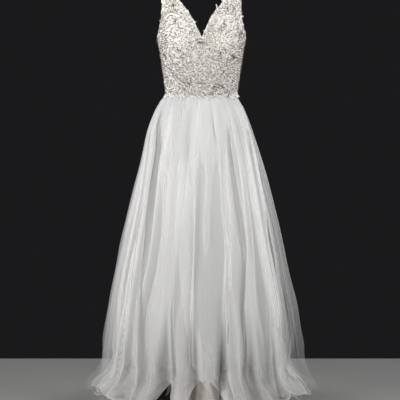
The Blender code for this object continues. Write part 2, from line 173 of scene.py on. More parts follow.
# Main folds of each layer: degrees round from the front centre, towards +X, at each height.
# lean is how much cloth folds over and depth how far it stands off, both against the folds' spacing;
# a negative depth puts the crest on the side towards -X.
OUTER_FOLDS = (
    Fold(-82, -80, -79, -78, -80, 2.4, -0.60, 0.40, 1.5),
    Fold(-62, -60, -57, -52, -50, 2.2, 0.55, 0.45, 1.5),
    Fold(-43.0, -35.5, -26.5, -32.0, -22.0, 3.0, -0.65, 0.40, 1.5),
    Fold(-22, -21, -20, -17, -13, 1.6, 0.9, 0.55, 1.5),
    Fold(-5.0, -8.5, -13.0, -6.5, 8.0, 3.2, 0.60, 0.40, 1.5),
    Fold(24.0, 25.5, 23.5, 16.0, 12.0, 2.6, 0.50, 0.50, 1.5),
    Fold(36.0, 37.0, 34.0, 26.5, 26.0, 3.0, -0.65, 0.42, 1.5),
    Fold(55, 54, 52, 50, 44, 2.4, 0.55, 0.45, 1.5),
    Fold(72, 71, 70, 70, 66, 2.6, -0.65, 0.42, 1.5),
    Fold(90, 89, 90, 92, 90, 2.2, 0.60, 0.50, 1.5),
    Fold(112, 114, 111, 115, 118, 2.8, -0.60, 0.40, 1.5),
    Fold(135, 131, 136, 139, 137, 2.2, 0.55, 0.45, 1.5),
    Fold(157, 160, 156, 152, 158, 3.0, 0.60, 0.42, 1.5),
    Fold(181, 178, 183, 187, 181, 2.4, -0.60, 0.50, 1.5),
    Fold(204, 207, 203, 200, 206, 2.8, 0.55, 0.40, 1.5),
    Fold(228, 225, 229, 233, 229, 2.4, -0.65, 0.45, 1.5),
    Fold(252, 254, 250, 252, 256, 2.6, 0.60, 0.42, 1.5),
)
MIDDLE_FOLDS = (
    Fold(-88, -86, -84, -84, -86, 2.4, 0.60, 0.40, 1.5),
    Fold(-66, -60, -49, -42, -37.0, 3.0, 0.65, 0.42, 1.5),
    Fold(-34, -31, -33, -36, -30.0, 2.0, -0.55, 0.50, 1.5),
    Fold(-13.5, -10.0, -9.0, -10, -12, 2.8, -0.70, 0.40, 1.5),
    Fold(-4.0, -3.0, -3.2, -3.0, -2.0, 2.6, -0.60, 0.60, 1.5),
    Fold(13.0, 11.5, 12.0, 11.0, 12.0, 2.8, 0.60, 0.45, 1.5),
    Fold(31.0, 36.0, 39.0, 33.0, 34.0, 2.6, -0.65, 0.45, 1.5),
    Fold(50, 48, 50, 54, 56, 2.4, 0.60, 0.42, 1.5),
    Fold(74, 72, 76, 80, 78, 2.6, -0.60, 0.45, 1.5),
    Fold(100, 103, 99, 101, 104, 2.8, 0.55, 0.40, 1.5),
    Fold(124, 121, 125, 128, 126, 2.2, 0.60, 0.50, 1.5),
    Fold(146, 148, 144, 146, 150, 2.6, -0.65, 0.42, 1.5),
    Fold(170, 167, 172, 170, 174, 2.8, 0.60, 0.45, 1.5),
    Fold(193, 196, 192, 190, 195, 2.4, -0.55, 0.40, 1.5),
    Fold(215, 212, 217, 218, 214, 2.8, 0.60, 0.45, 1.5),
    Fold(240, 243, 239, 238, 243, 2.4, -0.60, 0.42, 1.5),
)
UNDER_FOLDS = (
    Fold(-75, -72, -74, -70, -72, 1.5, 0.8, 0.40, 1.5),
    Fold(-45, -48, -44, -46, -42, 1.4, -0.8, 0.45, 1.5),
    Fold(-18, -17, -19, -22, -20, 1.6, 0.8, 0.40, 1.5),
    Fold(3, 5, 4, 2, 3, 1.4, -0.8, 0.42, 1.5),
    Fold(24, 22, 26, 24, 27, 1.6, 0.8, 0.45, 1.5),
    Fold(52, 55, 51, 54, 50, 1.4, -0.8, 0.40, 1.5),
    Fold(84, 81, 85, 88, 84, 1.5, 0.8, 0.45, 1.5),
    Fold(118, 121, 117, 119, 123, 1.4, -0.8, 0.42, 1.5),
    Fold(150, 147, 152, 155, 151, 1.6, 0.8, 0.40, 1.5),
    Fold(184, 187, 183, 181, 186, 1.4, -0.8, 0.45, 1.5),
    Fold(218, 215, 219, 222, 217, 1.5, 0.8, 0.42, 1.5),
    Fold(252, 254, 250, 251, 255, 1.4, -0.8, 0.40, 1.5),
)

Wave = namedtuple("Wave", "count top_mm hip_mm knee_mm hem_mm sharp")

# Gathers, from the fine ones at the waist seam to the broad ones near the hem
OUTER_GATHERS = (
    Wave(104, 0.4, 0.1, 0.0, 0.0, 1.3),
    Wave(37, 3.6, 2.6, 0.8, 0.3, 1.4),
    Wave(19, 0.0, 2.0, 3.5, 5.0, 1.3),
)
MIDDLE_GATHERS = (
    Wave(34, 4.4, 3.0, 0.8, 0.3, 1.5),
    Wave(17, 0.0, 2.0, 3.5, 6.0, 1.3),
)
UNDER_GATHERS = (
    Wave(31, 4.2, 3.0, 1.0, 0.3, 1.5),
    Wave(15, 0.0, 2.0, 4.0, 6.0, 1.3),
)
SATIN_GATHERS = (
    Wave(40, 0.6, 1.2, 0.4, 0.2, 1.2),
    Wave(11, 0.0, 2.0, 6.0, 10.0, 1.2),
)
GATHER_DROPS = (0.40, 0.52, 0.90, 1.44)
# Painted shade: the tulle's colour is darkened to this share at the waist and returns to its own white lower
# down, for the light the tight gathers keep in
GATHER_PAINTED_SHADE = 0.80
PAINTED_SHADE_FOOT_DROP = 0.75
# The tulle stands apart and lets more light through near the hem
AIRY_TOP_DROP = 1.12
AIRY_SHARE = 0.62
# How much denser the tulle looks where it turns back, and along its cut hem
FOLD_EDGE_GAIN = 2.7
HEM_BAND_GAIN = 2.6

Lift = namedtuple("Lift", "middle_deg half_deg rise")

# Where each tulle hem is caught up off the floor
OUTER_LIFTS = (
    Lift(-23, 8, 0.085),
    Lift(-9, 13, 0.104),
    Lift(7, 10, 0.094),
    Lift(17, 4, 0.090),
    Lift(40, 8, 0.040),
    Lift(-50, 5, 0.040),
    Lift(-75, 8, 0.022),
    Lift(76, 8, 0.020),
    Lift(122, 11, 0.030),
    Lift(171, 12, 0.026),
    Lift(216, 10, 0.034),
    Lift(262, 9, 0.020),
)
MIDDLE_LIFTS = (
    Lift(-24, 8, 0.075),
    Lift(-3, 13, 0.092),
    Lift(14, 7, 0.080),
    Lift(45, 7, 0.034),
    Lift(-62, 9, 0.024),
    Lift(95, 10, 0.024),
    Lift(150, 12, 0.030),
    Lift(238, 11, 0.026),
)
UNDER_LIFTS = (
    Lift(-22, 7, 0.060),
    Lift(2, 15, 0.086),
    Lift(60, 9, 0.024),
    Lift(-80, 10, 0.022),
    Lift(135, 12, 0.022),
    Lift(200, 12, 0.026),
)
SATIN_LIFTS = (
    Lift(-25, 7, 0.045),
    Lift(-60, 12, 0.010),
    Lift(70, 14, 0.012),
)

Scoop = namedtuple("Scoop", "middle_deg half_deg depth")

# Hollows between the flutes of the hem, which fade out upwards
SCOOPS = (
    Scoop(-22, 9, 0.062),
    Scoop(-3, 7, 0.036),
    Scoop(13, 6, 0.052),
    Scoop(30, 7, 0.040),
    Scoop(47, 6, 0.044),
    Scoop(68, 9, 0.040),
    Scoop(93, 9, 0.036),
    Scoop(119, 11, 0.034),
    Scoop(147, 9, 0.040),
    Scoop(172, 12, 0.030),
    Scoop(199, 9, 0.036),
    Scoop(224, 11, 0.034),
    Scoop(252, 10, 0.030),
    Scoop(275, 8, 0.034),
    Scoop(295, 7, 0.040),
    Scoop(314, 8, 0.046),
)
# How much further in the inner layers lie at each side, where the outer one stands off alone
OFF_DROPS = (0.45, 0.60, 0.80, 0.95, 1.10, 1.30, 1.44)
RIGHT_OFF = (0.000, 0.006, 0.014, 0.030, 0.030, 0.038, 0.010)
LEFT_OFF = (0.000, 0.000, 0.006, 0.010, 0.012, 0.014, 0.004)
LEFT_PUFF = 0.011


class DressSkirt(bpy.types.PropertyGroup):
    """Sizes of the skirt's layers."""

    outer_columns: bpy.props.IntProperty(
        name="Outer Columns", description="Points round the outer tulle", default=600)
    outer_rows: bpy.props.IntProperty(
        name="Outer Rows", description="Points down the outer tulle", default=116)
    outer_gap: bpy.props.FloatProperty(
        name="Outer Gap", description="How far the outer tulle's middle lies inside its highest ridges",
        default=0.013, unit="LENGTH")
    middle_gap: bpy.props.FloatProperty(
        name="Middle Gap", description="How far the middle tulle lies inside the outer one at the knee",
        default=0.026, unit="LENGTH")
    under_gap: bpy.props.FloatProperty(
        name="Under Gap", description="How far the inner tulle lies inside the outer one at the knee",
        default=0.042, unit="LENGTH")
    satin_gap: bpy.props.FloatProperty(
        name="Satin Gap", description="How far the satin lies inside the outer tulle at the knee",
        default=0.082, unit="LENGTH")


class DressCloth(bpy.types.PropertyGroup):
    """Colours of the cloth."""

    tulle: bpy.props.FloatVectorProperty(
        name="Tulle", description="White of the tulle", size=3, subtype="COLOR",
        default=(0.87, 0.865, 0.86))
    satin: bpy.props.FloatVectorProperty(
        name="Satin", description="Blush of the satin underskirt", size=3, subtype="COLOR",
        default=(0.66, 0.60, 0.55))
    ground: bpy.props.FloatVectorProperty(
        name="Ground Net", description="Champagne net under the lace", size=3, subtype="COLOR",
        default=(0.515, 0.465, 0.40))
    lace: bpy.props.FloatVectorProperty(
        name="Lace", description="Ivory cord and satin stitch", size=3, subtype="COLOR",
        default=(0.90, 0.89, 0.87))
    gold: bpy.props.FloatVectorProperty(
        name="Gold Beads", description="Pale gold of the beads", size=3, subtype="COLOR",
        default=(0.120, 0.078, 0.036))
    crystal: bpy.props.FloatVectorProperty(
        name="Crystals", description="Dark grey of the large stones", size=3, subtype="COLOR",
        default=(0.06, 0.06, 0.065))


class DressStage(bpy.types.PropertyGroup):
    """Where the camera stands and looks, with heights measured from the floor."""

    distance: bpy.props.FloatProperty(
        name="Camera Distance", description="From the dress's centre", default=4.0, unit="LENGTH")
    height: bpy.props.FloatProperty(
        name="Camera Height", description="Above the floor", default=0.85, unit="LENGTH")
    aim_height: bpy.props.FloatProperty(
        name="Aim Height", description="Height above the floor at the picture's centre",
        default=0.677, unit="LENGTH")
    aim_side: bpy.props.FloatProperty(
        name="Aim Side", description="How far the picture's centre lies to the side",
        default=-0.0052, unit="LENGTH")
    lens: bpy.props.FloatProperty(
        name="Lens", description="Focal length in millimetres", default=103.1)


def curve(rows, key, at):
    """Column of a table at the given drops, on a smooth curve with no overshoot."""
    rows = sorted(rows, key=lambda row: row.drop)
    xs = np.array([row.drop for row in rows])
    ys = np.array([getattr(row, key) for row in rows])
    return smooth_through(xs, ys, at)


def smooth_through(xs, ys, at):
    """Monotone cubic through points. ys may hold a column for each of several curves."""
    xs = np.asarray(xs, float)
    ys = np.asarray(ys, float)
    shape = (-1,) + (1,) * (ys.ndim - 1)
    slopes = np.diff(ys, axis=0) / np.diff(xs).reshape(shape)
    before, after = slopes[:-1], slopes[1:]
    both = before * after > 0
    inner = np.where(both, 2 * before * after / np.where(both, before + after, 1.0), 0.0)
    tangents = np.concatenate([slopes[:1], inner, slopes[-1:]])
    at = np.clip(at, xs[0], xs[-1])
    index = np.clip(np.searchsorted(xs, at, side="right") - 1, 0, len(xs) - 2)
    span = (xs[index + 1] - xs[index]).reshape(np.shape(index) + (1,) * (ys.ndim - 1))
    t = (at - xs[index]).reshape(span.shape) / span
    return (
        ys[index] * (1 + 2 * t) * (1 - t) ** 2
        + ys[index + 1] * t * t * (3 - 2 * t)
        + tangents[index] * span * t * (1 - t) ** 2
        - tangents[index + 1] * span * t * t * (1 - t)
    )


def ease(low, high, value):
    """Smooth step from 0 at low to 1 at high."""
    t = np.clip((value - low) / (high - low), 0.0, 1.0)
    return t * t * (3 - 2 * t)


def turn_gap(degrees, middle):
    """Signed difference between two directions, in degrees."""
    return (degrees - middle + 180.0) % 360.0 - 180.0


def wrinkle(angle, drop, seed):
    """Smooth uneven noise round and down the skirt, from -1 to 1, that closes on itself."""
    picker = random.Random(seed)
    total = np.zeros(np.broadcast(angle, drop).shape)
    weight = 0.0
    for octave in range(7):
        round_count = picker.randint(2 + 2 * octave, 5 + 4 * octave)
        down_count = picker.uniform(2.0, 5.0 + 3 * octave)
        share = 1.0 / (1 + 0.35 * octave)
        shift = picker.uniform(0, 6.28)
        lean = picker.choice((-1, 1))
        total += share * np.sin(round_count * angle + lean * down_count * drop * 3.0 + shift)
        weight += share
    return total / (0.6 * weight)


def select_only(item):
    """Deselect everything but one object and make it active."""
    bpy.ops.object.select_all(action="DESELECT")
    item.select_set(True)
    bpy.context.view_layer.objects.active = item


def grid_piece(name, columns, rows, place, closed=False):
    """Sheet from a grid primitive whose points are moved to place(u, v), keeping the grid's 0 to 1 UVs."""
    bpy.ops.object.select_all(action="DESELECT")
    bpy.ops.mesh.primitive_grid_add(x_subdivisions=columns, y_subdivisions=rows, size=1.0)
    item = bpy.context.object
    item.name = name
    mesh = item.data
    flat = np.empty(len(mesh.vertices) * 3)
    mesh.vertices.foreach_get("co", flat)
    flat = flat.reshape(-1, 3)
    u = flat[:, 0] + 0.5
    v = flat[:, 1] + 0.5
    points = place(u, v)
    if isinstance(points, tuple):
        points, edges = points
        layer = mesh.attributes.new("fold_edge", "FLOAT", "POINT")
        layer.data.foreach_set("value", edges.astype(np.float32).ravel())
    mesh.vertices.foreach_set("co", np.ascontiguousarray(points, dtype=np.float32).ravel())
    mesh.update()
    if closed:
        bpy.ops.object.mode_set(mode="EDIT")
        bpy.ops.mesh.select_all(action="SELECT")
        bpy.ops.mesh.remove_doubles(threshold=0.000002)
        bpy.ops.object.mode_set(mode="OBJECT")
    bpy.ops.object.shade_smooth()
    return item


def scale_uvs(item, width, length):
    """Turn the grid's 0 to 1 UVs into metres of cloth."""
    layer = item.data.uv_layers.active
    uvs = np.empty(len(layer.data) * 2)
    layer.data.foreach_get("uv", uvs)
    uvs = uvs.reshape(-1, 2) * (width, length)
    layer.data.foreach_set("uv", uvs.ravel())
    layer.name = "cloth"


def all_folds(mains, spacing_deg, seed):
    """Main folds in order round a layer, with smaller ones between them."""
    picker = random.Random(seed)
    folds = []
    for index, fold in enumerate(mains):
        after = mains[(index + 1) % len(mains)]
        turn = 360 if index == len(mains) - 1 else 0
        folds.append(fold)
        gap = after.c + turn - fold.c
        count = max(int(round(gap / spacing_deg)) - 1, 0)
        for number in range(count):
            share = (number + 1 + picker.uniform(-0.28, 0.28)) / (count + 1)
            places = [near + share * (far + turn - near) for near, far in zip(fold[:5], after[:5])]
            folds.append(Fold(
                *places,
                picker.choice((0.7, 1.4, 1.9, 2.5)),
                picker.choice((-1, 1)) * picker.uniform(0.4, 0.8),
                picker.uniform(0.36, 0.62),
                picker.choice((1.0, 1.3, 1.5, 1.5, 1.5)),
            ))
    return folds


def folded(shares, drops, folds):
    """Lay a ring of cloth in folds. Gives degrees round and metres stood out, a row for each height."""
    middles = np.array([sum(fold[:5]) / 5 for fold in folds])
    anchors = (middles - middles[0]) / 360.0
    places = np.array([smooth_through(CREASE_DROPS, fold[:5], drops) for fold in folds])
    ring = np.concatenate([places[-2:] - 360, places, places[:3] + 360])
    ring_at = np.concatenate([anchors[-2:] - 1, anchors, anchors[:3] + 1])
    degrees = smooth_through(ring_at, ring, shares).T
    radius = curve(SKIRT, "half_width", drops)
    out = np.zeros(degrees.shape)
    shift = np.zeros(degrees.shape)
    for index, fold in enumerate(folds):
        reach = 0.46 * (ring_at[index + 3] - ring_at[index + 1])
        reach_deg = 0.46 * (ring[index + 3] - ring[index + 1])
        away = (shares - anchors[index] + 0.5) % 1.0 - 0.5
        u = np.clip(away / reach, -1, 1)
        bend = u * (1 - u * u) ** 2
        present = ease(fold.starts - 0.05, fold.starts + 0.20, drops) * (
            1 - ease(fold.ends - 0.15, fold.ends, drops))
        shift -= fold.lean * (present * reach_deg)[:, None] * bend[None, :]
        out -= fold.depth * (present * np.radians(reach_deg) * radius)[:, None] * bend[None, :]
    return degrees + shift, out


def gather_depth(angle, drop, waves, seed):
    """How far the gathers sink, in metres."""
    picker = random.Random(seed)
    total = np.zeros(angle.shape)
    for wave in waves:
        drift = 0.9 * np.sin(3 * angle + picker.uniform(0, 6)) + 0.7 * np.sin(
            7 * angle + 0.5 * drop + picker.uniform(0, 6))
        drift += 0.8 * np.sin(5 * angle - 0.8 * drop + picker.uniform(0, 6))
        uneven = 0.62 + 0.38 * np.sin(4 * angle + 1.0 * drop + picker.uniform(0, 6))
        phase = wave.count * angle + drift * (1 + 0.2 * wave.count / 20)
        ridge = (0.5 + 0.5 * np.cos(phase)) ** wave.sharp
        amount = smooth_through(GATHER_DROPS, wave[1:5], drop) * MM
        total += amount * (1 - ridge * uneven)
    return total


def hem_rise(degrees, lifts):
    """How far the hem is caught up off the floor."""
    rise = np.zeros(degrees.shape)
    for lift in lifts:
        away = np.clip(turn_gap(degrees, lift.middle_deg) / lift.half_deg, -1, 1)
        rise = np.maximum(rise, lift.rise * np.cos(away * math.pi / 2) ** 1.5)
    return rise


def scoops(degrees, drop):
    """How far the hollows between the flutes sink, in metres."""
    total = np.zeros(degrees.shape)
    open_share = ease(1.05, 1.43, drop)
    for scoop in SCOOPS:
        half = scoop.half_deg * (0.35 + 0.65 * open_share)
        away = np.clip(turn_gap(degrees, scoop.middle_deg) / half, -1, 1)
        total += scoop.depth * open_share * np.cos(away * math.pi / 2) ** 2
    return total


def stand_off(degrees, drop):
    """Extra distance of the inner layers inside the outer one at the two sides."""
    right = smooth_through(OFF_DROPS, RIGHT_OFF, drop) * ease(55, 0, np.abs(turn_gap(degrees, 88)))
    left = smooth_through(OFF_DROPS, LEFT_OFF, drop) * ease(50, 0, np.abs(turn_gap(degrees, -88)))
    return right + left


def skirt_layer(name, columns, rows, gap, folds, waves, lifts, seed, puddle):
    """One gathered tube of the skirt. gap is its distance inside the outermost ridges at the knee."""

    def place(u, v):
        across = u[:columns + 1]
        down = 1 - v.reshape(rows + 1, columns + 1)[:, 0]
        drops = WAIST_DROP + (HEM_DROP - WAIST_DROP) * (1 - (1 - down) ** 1.2)
        shares = even_shares(across, folds)
        degrees, out = folded(shares, drops, folds)
        angle = np.radians(degrees)
        drop = np.repeat(drops[:, None], columns + 1, axis=1)
        rise = hem_rise(degrees, lifts)
        rise += 0.009 * (1 + wrinkle(2 * angle, 0 * drop, seed + 5))
        drop = drop - rise * ease(0.6, 1.0, down)[:, None] ** 2
        inward = gap * smooth_through((0.395, 0.50, 0.80, 1.45), (0.06, 0.35, 1.0, 1.0), drops)[:, None]
        inward = inward - out + gather_depth(angle, drop, waves, seed)
        inward += 0.0035 * wrinkle(angle, drop, seed + 9) * ease(0.55, 1.3, drop)
        inward += scoops(degrees + seed % 3, drop)
        inward -= LEFT_PUFF * ease(62, 0, np.abs(turn_gap(degrees, -88))) * ease(0.395, 0.425, drop) * (
            1 - ease(0.50, 0.66, drop))
        if name != "tulle_outer_sheer":
            inward += stand_off(degrees, drop)
        crumple = ease(HEM_DROP - 0.20, HEM_DROP - 0.02, drop)
        inward += puddle * crumple * wrinkle(3 * angle, 2.2 * drop, seed + 17)
        front = np.where(np.cos(angle) > 0, curve(SKIRT, "front", drop), curve(SKIRT, "back", drop))
        wide = curve(SKIRT, "half_width", drop) - inward
        deep = front - inward
        height = -drop + 1.2 * puddle * crumple * (0.5 + 0.5 * wrinkle(4 * angle, 3 * drop, seed + 23))
        points = np.stack([wide * np.sin(angle), -deep * np.cos(angle), height], axis=-1)
        return points.reshape(-1, 3), turning(degrees, out, drops)

    return grid_piece(name, columns, rows, place, closed=True)


def turning(degrees, out, drops):
    """Where the cloth turns back on itself, from 0 to 1, so that more of its threads lie over each other."""
    radius = curve(SKIRT, "half_width", drops)[:, None]
    along = np.radians(np.gradient(degrees, axis=1)) * radius
    stand = np.gradient(out, axis=1)
    flat = np.abs(along) / np.maximum(np.hypot(along, stand), 1e-9)
    return np.clip((0.55 - flat) / 0.55, 0, 1)


def even_shares(across, folds):
    """Shares of a ring that put its columns at even steps along the folded cloth."""
    fine = np.linspace(0, 1, 6001)
    height = np.array([1.15])
    degrees, out = folded(fine, height, folds)
    radius = curve(SKIRT, "half_width", height)[0]
    steps = np.hypot(np.radians(np.diff(degrees[0])) * radius, np.diff(out[0]))
    length = np.concatenate([[0], np.cumsum(steps)])
    return np.interp(across, length / length[-1], fine)


def body_point(degrees, drop, out=0.0):
    """Point of the bodice at a direction from the front centre, -180 to 180 degrees."""
    degrees = np.asarray(degrees, float)
    drop = np.asarray(drop, float)
    front = np.abs(degrees) <= 90
    turned = np.where(front, degrees, np.sign(degrees) * 180 - degrees)
    side = np.where(front, -1.0, 1.0)
    angle = np.radians(turned)
    cup = CUP_PUSH * np.exp(-((np.abs(turned) - CUP_DEG) / CUP_SPREAD_DEG) ** 2) * np.exp(
        -((drop - CUP_DROP) / CUP_SPREAD) ** 2) * front
    rise = np.clip((ARCH_DROP - drop) / ARCH_DROP, 0, 1)
    arch = np.sqrt(np.clip(1 - rise ** 2, 0, 1))
    depth = np.where(front, curve(BODICE, "front", drop), curve(BODICE, "back", drop))
    across = curve(BODICE, "half_width", drop) + 0.35 * cup
    deep = (depth + 1.15 * cup) * arch
    return np.stack([across * np.sin(angle), side * deep * np.cos(angle), -drop], axis=-1)


def body_frame(degrees, drop):
    """Point, outward normal and two unit directions on the bodice, with metres per degree and per drop."""
    step_deg = 0.2
    step_drop = 0.0008
    point = body_point(degrees, drop)
    along = (body_point(degrees + step_deg, drop) - body_point(degrees - step_deg, drop)) / (2 * step_deg)
    down = (body_point(degrees, drop + step_drop) - body_point(degrees, drop - step_drop)) / (2 * step_drop)
    along_size = np.linalg.norm(along, axis=-1, keepdims=True)
    down_size = np.linalg.norm(down, axis=-1, keepdims=True)
    normal = np.cross(down, along)
    normal /= np.linalg.norm(normal, axis=-1, keepdims=True)
    return point, normal, along / along_size, down / down_size, along_size[..., 0], down_size[..., 0]


def neck_degrees(neck, drop):
    """Direction of the neckline's edge from its centre line at a height."""
    half = curve(BODICE, "half_width", drop)
    return np.degrees(np.arcsin(np.clip(curve(neck, "x", drop) / half, 0, 1)))


def armhole_degrees(drop):
    """Direction of the armhole's edge from the centre line at a height."""
    half = curve(BODICE, "half_width", drop)
    edge = np.degrees(np.arcsin(np.clip(curve(ARMHOLE, "x", drop) / half, 0, 1)))
    return np.where(drop < UNDERARM_DROP, edge, 90.0)


def scallop_drop(share):
    """Lower edge of the lace along a quarter of the waist."""
    wave = np.abs(np.sin(math.pi * SCALLOPS_PER_QUARTER * share))
    uneven = 0.8 + 0.2 * np.cos(2.3 * math.pi * share + 0.6)
    low = SCALLOP_HIGH + (SCALLOP_LOW - SCALLOP_HIGH) * uneven * np.sqrt(wave)
    return low - SIDE_LIFT * ease(0.45, 0.95, share)


Spot = namedtuple("Spot", "degrees drop")

# Large grey stones of the front
CRYSTALS = (
    Spot(-36.4, 0.1060), Spot(-33.8, 0.1617), Spot(-32.0, 0.2584), Spot(-60.8, 0.2710),
    Spot(-2.8, 0.2338), Spot(33.3, 0.1170), Spot(28.9, 0.1730), Spot(25.5, 0.1959),
    Spot(59.8, 0.1985), Spot(25.5, 0.2679), Spot(50.6, 0.2780), Spot(-19.1, 0.3722),
    Spot(19.9, 0.3817), Spot(34.5, 0.3780),
)
# Similar ones on the back
BACK_CRYSTALS = (
    Spot(150.0, 0.1300), Spot(140.0, 0.2050), Spot(160.0, 0.2900), Spot(118.0, 0.2600),
    Spot(146.0, 0.3650), Spot(-148.0, 0.1350), Spot(-138.0, 0.2120), Spot(-162.0, 0.2840),
    Spot(-120.0, 0.2680), Spot(-143.0, 0.3700),
)

Item = namedtuple("Item", "kind degrees drop turn size flip")

# Tops of the cup lining that show through the lace
LEFT_ARC = (Spot(-51, 0.1430), Spot(-45.2, 0.1335), Spot(-39.3, 0.1306), Spot(-34, 0.1340), Spot(-28, 0.1430))
RIGHT_ARC = (Spot(21, 0.1520), Spot(28.2, 0.1420), Spot(33.2, 0.1376), Spot(38.5, 0.1395), Spot(45, 0.1460))
ARC_CLEAR = 3.4 * MM
ARC_MIDDLE = 2.0 * MM
ARC_STEPS = 22
FILL_TRIES = 30000
FILL_ROOM = 1.8 * MM
FILL_CELL = 2.4 * MM
BEAD_TRIES = 12000
BEAD_ROOM = 4.0 * MM


def arc_line(arc):
    """Degrees and drops of points along a lining's top, on a smooth curve."""
    degrees = np.array([spot.degrees for spot in arc])
    along = np.linspace(degrees[0], degrees[-1], ARC_STEPS)
    return along, smooth_through(degrees, [spot.drop for spot in arc], along)


def arc_points():
    """Points along the middles of the two lining bands."""
    found = []
    for arc in (LEFT_ARC, RIGHT_ARC):
        degrees, drops = arc_line(arc)
        found.append(body_point(degrees, drops + ARC_MIDDLE))
    return np.concatenate(found)


def clear_of_arcs(points, room):
    """Whether points lie far enough from the lining bands."""
    clear = np.full(len(points), True)
    for arc_point in arc_points():
        clear &= np.linalg.norm(points - arc_point, axis=1) > ARC_CLEAR + room
    return clear


class Form:
    """A small shape modelled once, ready to be copied over the bodice."""

    def __init__(self, points, triangles):
        self.points = np.asarray(points, float)
        self.triangles = np.asarray(triangles, int)

    def turned(self, angle, shift=(0, 0, 0), size=1.0):
        """Copy of the form scaled, turned about Z and moved."""
        cos, sin = math.cos(angle), math.sin(angle)
        matrix = np.array([[cos, sin, 0], [-sin, cos, 0], [0, 0, 1]])
        return Form(self.points * size @ matrix + np.array(shift), self.triangles)


def joined(forms):
    """One form from several."""
    points = []
    triangles = []
    count = 0
    for form in forms:
        points.append(form.points)
        triangles.append(form.triangles + count)
        count += len(form.points)
    return Form(np.concatenate(points), np.concatenate(triangles))


def taken_form(item):
    """Read a modelled object as a form and remove it."""
    mesh = item.data
    mesh.calc_loop_triangles()
    points = [tuple(vert.co) for vert in mesh.vertices]
    triangles = [tuple(triangle.vertices) for triangle in mesh.loop_triangles]
    bpy.data.objects.remove(item)
    bpy.data.meshes.remove(mesh)
    return Form(points, triangles)


def petal_form(length, width, height, corners=9, tip=0.35):
    """Corded petal: a raised rim round a lower satin-stitched middle, its root at the origin."""
    bpy.ops.object.select_all(action="DESELECT")
    bpy.ops.mesh.primitive_circle_add(vertices=corners, radius=0.5, fill_type="NGON")
    item = bpy.context.object
    bpy.ops.object.mode_set(mode="EDIT")
    bpy.ops.mesh.select_all(action="SELECT")
    bpy.ops.mesh.inset(thickness=0.12, depth=1.0)
    bpy.ops.mesh.inset(thickness=0.13, depth=-0.55)
    bpy.ops.mesh.poke()
    bpy.ops.object.mode_set(mode="OBJECT")
    for vert in item.data.vertices:
        along = vert.co.y + 0.5
        pinch = 1.0 - tip * (1 - along) ** 1.5
        vert.co = (vert.co.x * width * pinch, along * length, max(vert.co.z, 0) * height)
    lowest = min(item.data.vertices, key=lambda vert: vert.co.x ** 2 + (vert.co.y - length / 2) ** 2)
    lowest.co.z = height * 0.75
    return taken_form(item)


def cord_form(path, radius):
    """Cord along a flat path of (x, y) points, thinner at its ends and open where it lies on the net."""
    path = np.asarray(path, float)
    along = np.gradient(path, axis=0)
    along /= np.linalg.norm(along, axis=1, keepdims=True)
    across = np.stack([along[:, 1], -along[:, 0]], axis=1)
    size = np.full(len(path), radius)
    size[[0, -1]] *= 0.45
    rings = []
    for side, high in ((-1.0, 0.0), (0.0, 1.7), (1.0, 0.0)):
        flat = path + across * (side * size)[:, None]
        rings.append(np.column_stack([flat, high * size]))
    points = np.stack(rings, axis=1).reshape(-1, 3)
    triangles = []
    for index in range(len(path) - 1):
        for number in range(2):
            near = index * 3 + number
            triangles.append((near, near + 3, near + 1))
            triangles.append((near + 1, near + 3, near + 4))
    return Form(points, triangles)


def spiral(turns, radius, points, start=0.25):
    """Flat curl that opens outwards."""
    share = np.linspace(start, 1, points)
    angle = share * turns * 2 * math.pi
    return np.stack([radius * share * np.cos(angle), radius * share * np.sin(angle)], axis=1)


def wavy(length, sway, points, bends=1.0):
    """Gently bending stem from the origin along Y."""
    share = np.linspace(0, 1, points)
    return np.stack([sway * np.sin(share * math.pi * bends), share * length], axis=1)


def bead_form(radius, detail):
    """Round bead sitting on the cloth."""
    bpy.ops.object.select_all(action="DESELECT")
    bpy.ops.mesh.primitive_ico_sphere_add(subdivisions=detail, radius=radius, location=(0, 0, 0))
    item = bpy.context.object
    for vert in item.data.vertices:
        vert.co.z += radius * 0.8
    return taken_form(item)


def bugle_form(length, radius):
    """Short glass tube lying along Y."""
    bpy.ops.object.select_all(action="DESELECT")
    bpy.ops.mesh.primitive_cylinder_add(vertices=6, radius=radius, depth=length, rotation=(math.pi / 2, 0, 0))
    bpy.ops.object.transform_apply(rotation=True)
    item = bpy.context.object
    for vert in item.data.vertices:
        vert.co.z += radius
    return taken_form(item)


def stone_form(radius):
    """Faceted round stone in a low setting."""
    bpy.ops.object.select_all(action="DESELECT")
    bpy.ops.mesh.primitive_cylinder_add(vertices=8, radius=radius, depth=radius * 0.5)
    item = bpy.context.object
    bpy.ops.object.mode_set(mode="EDIT")
    bpy.ops.mesh.select_mode(type="FACE")
    bpy.ops.mesh.select_all(action="DESELECT")
    bpy.ops.object.mode_set(mode="OBJECT")
    for face in item.data.polygons:
        face.select = face.normal.z > 0.9
    bpy.ops.object.mode_set(mode="EDIT")
    bpy.ops.mesh.inset(thickness=radius * 0.42, depth=radius * 0.38)
    bpy.ops.object.mode_set(mode="OBJECT")
    for vert in item.data.vertices:
        vert.co.z += radius * 0.3
    return taken_form(item)


def plume(leaf, reach, count):
    """Bowed stem with leaves on both sides that grow shorter towards its curled tip."""
    share = np.linspace(0, 1, 14)
    angle = math.radians(115) * share
    path = reach * np.stack([1 - np.cos(angle), np.sin(angle)], axis=1)
    path -= path.mean(axis=0)
    parts = [cord_form(path, 0.8 * MM)]
    for number in range(count):
        at = 1 + 12 * number / (count - 1)
        index = int(at)
        x, y = path[min(index, 13)]
        heading = math.radians(115) * share[min(index, 13)]
        size = 1.0 - 0.45 * number / count
        parts.append(leaf.turned(heading - 0.85, (x, y, 0.1 * MM), size))
        if number % 2:
            parts.append(leaf.turned(heading + 0.95, (x, y, 0.2 * MM), 0.72 * size))
    parts.append(cord_form(spiral(1.1, 3.0 * MM, 10), 0.75 * MM).turned(0.4, (path[-1][0], path[-1][1], 0)))
    return joined(parts)


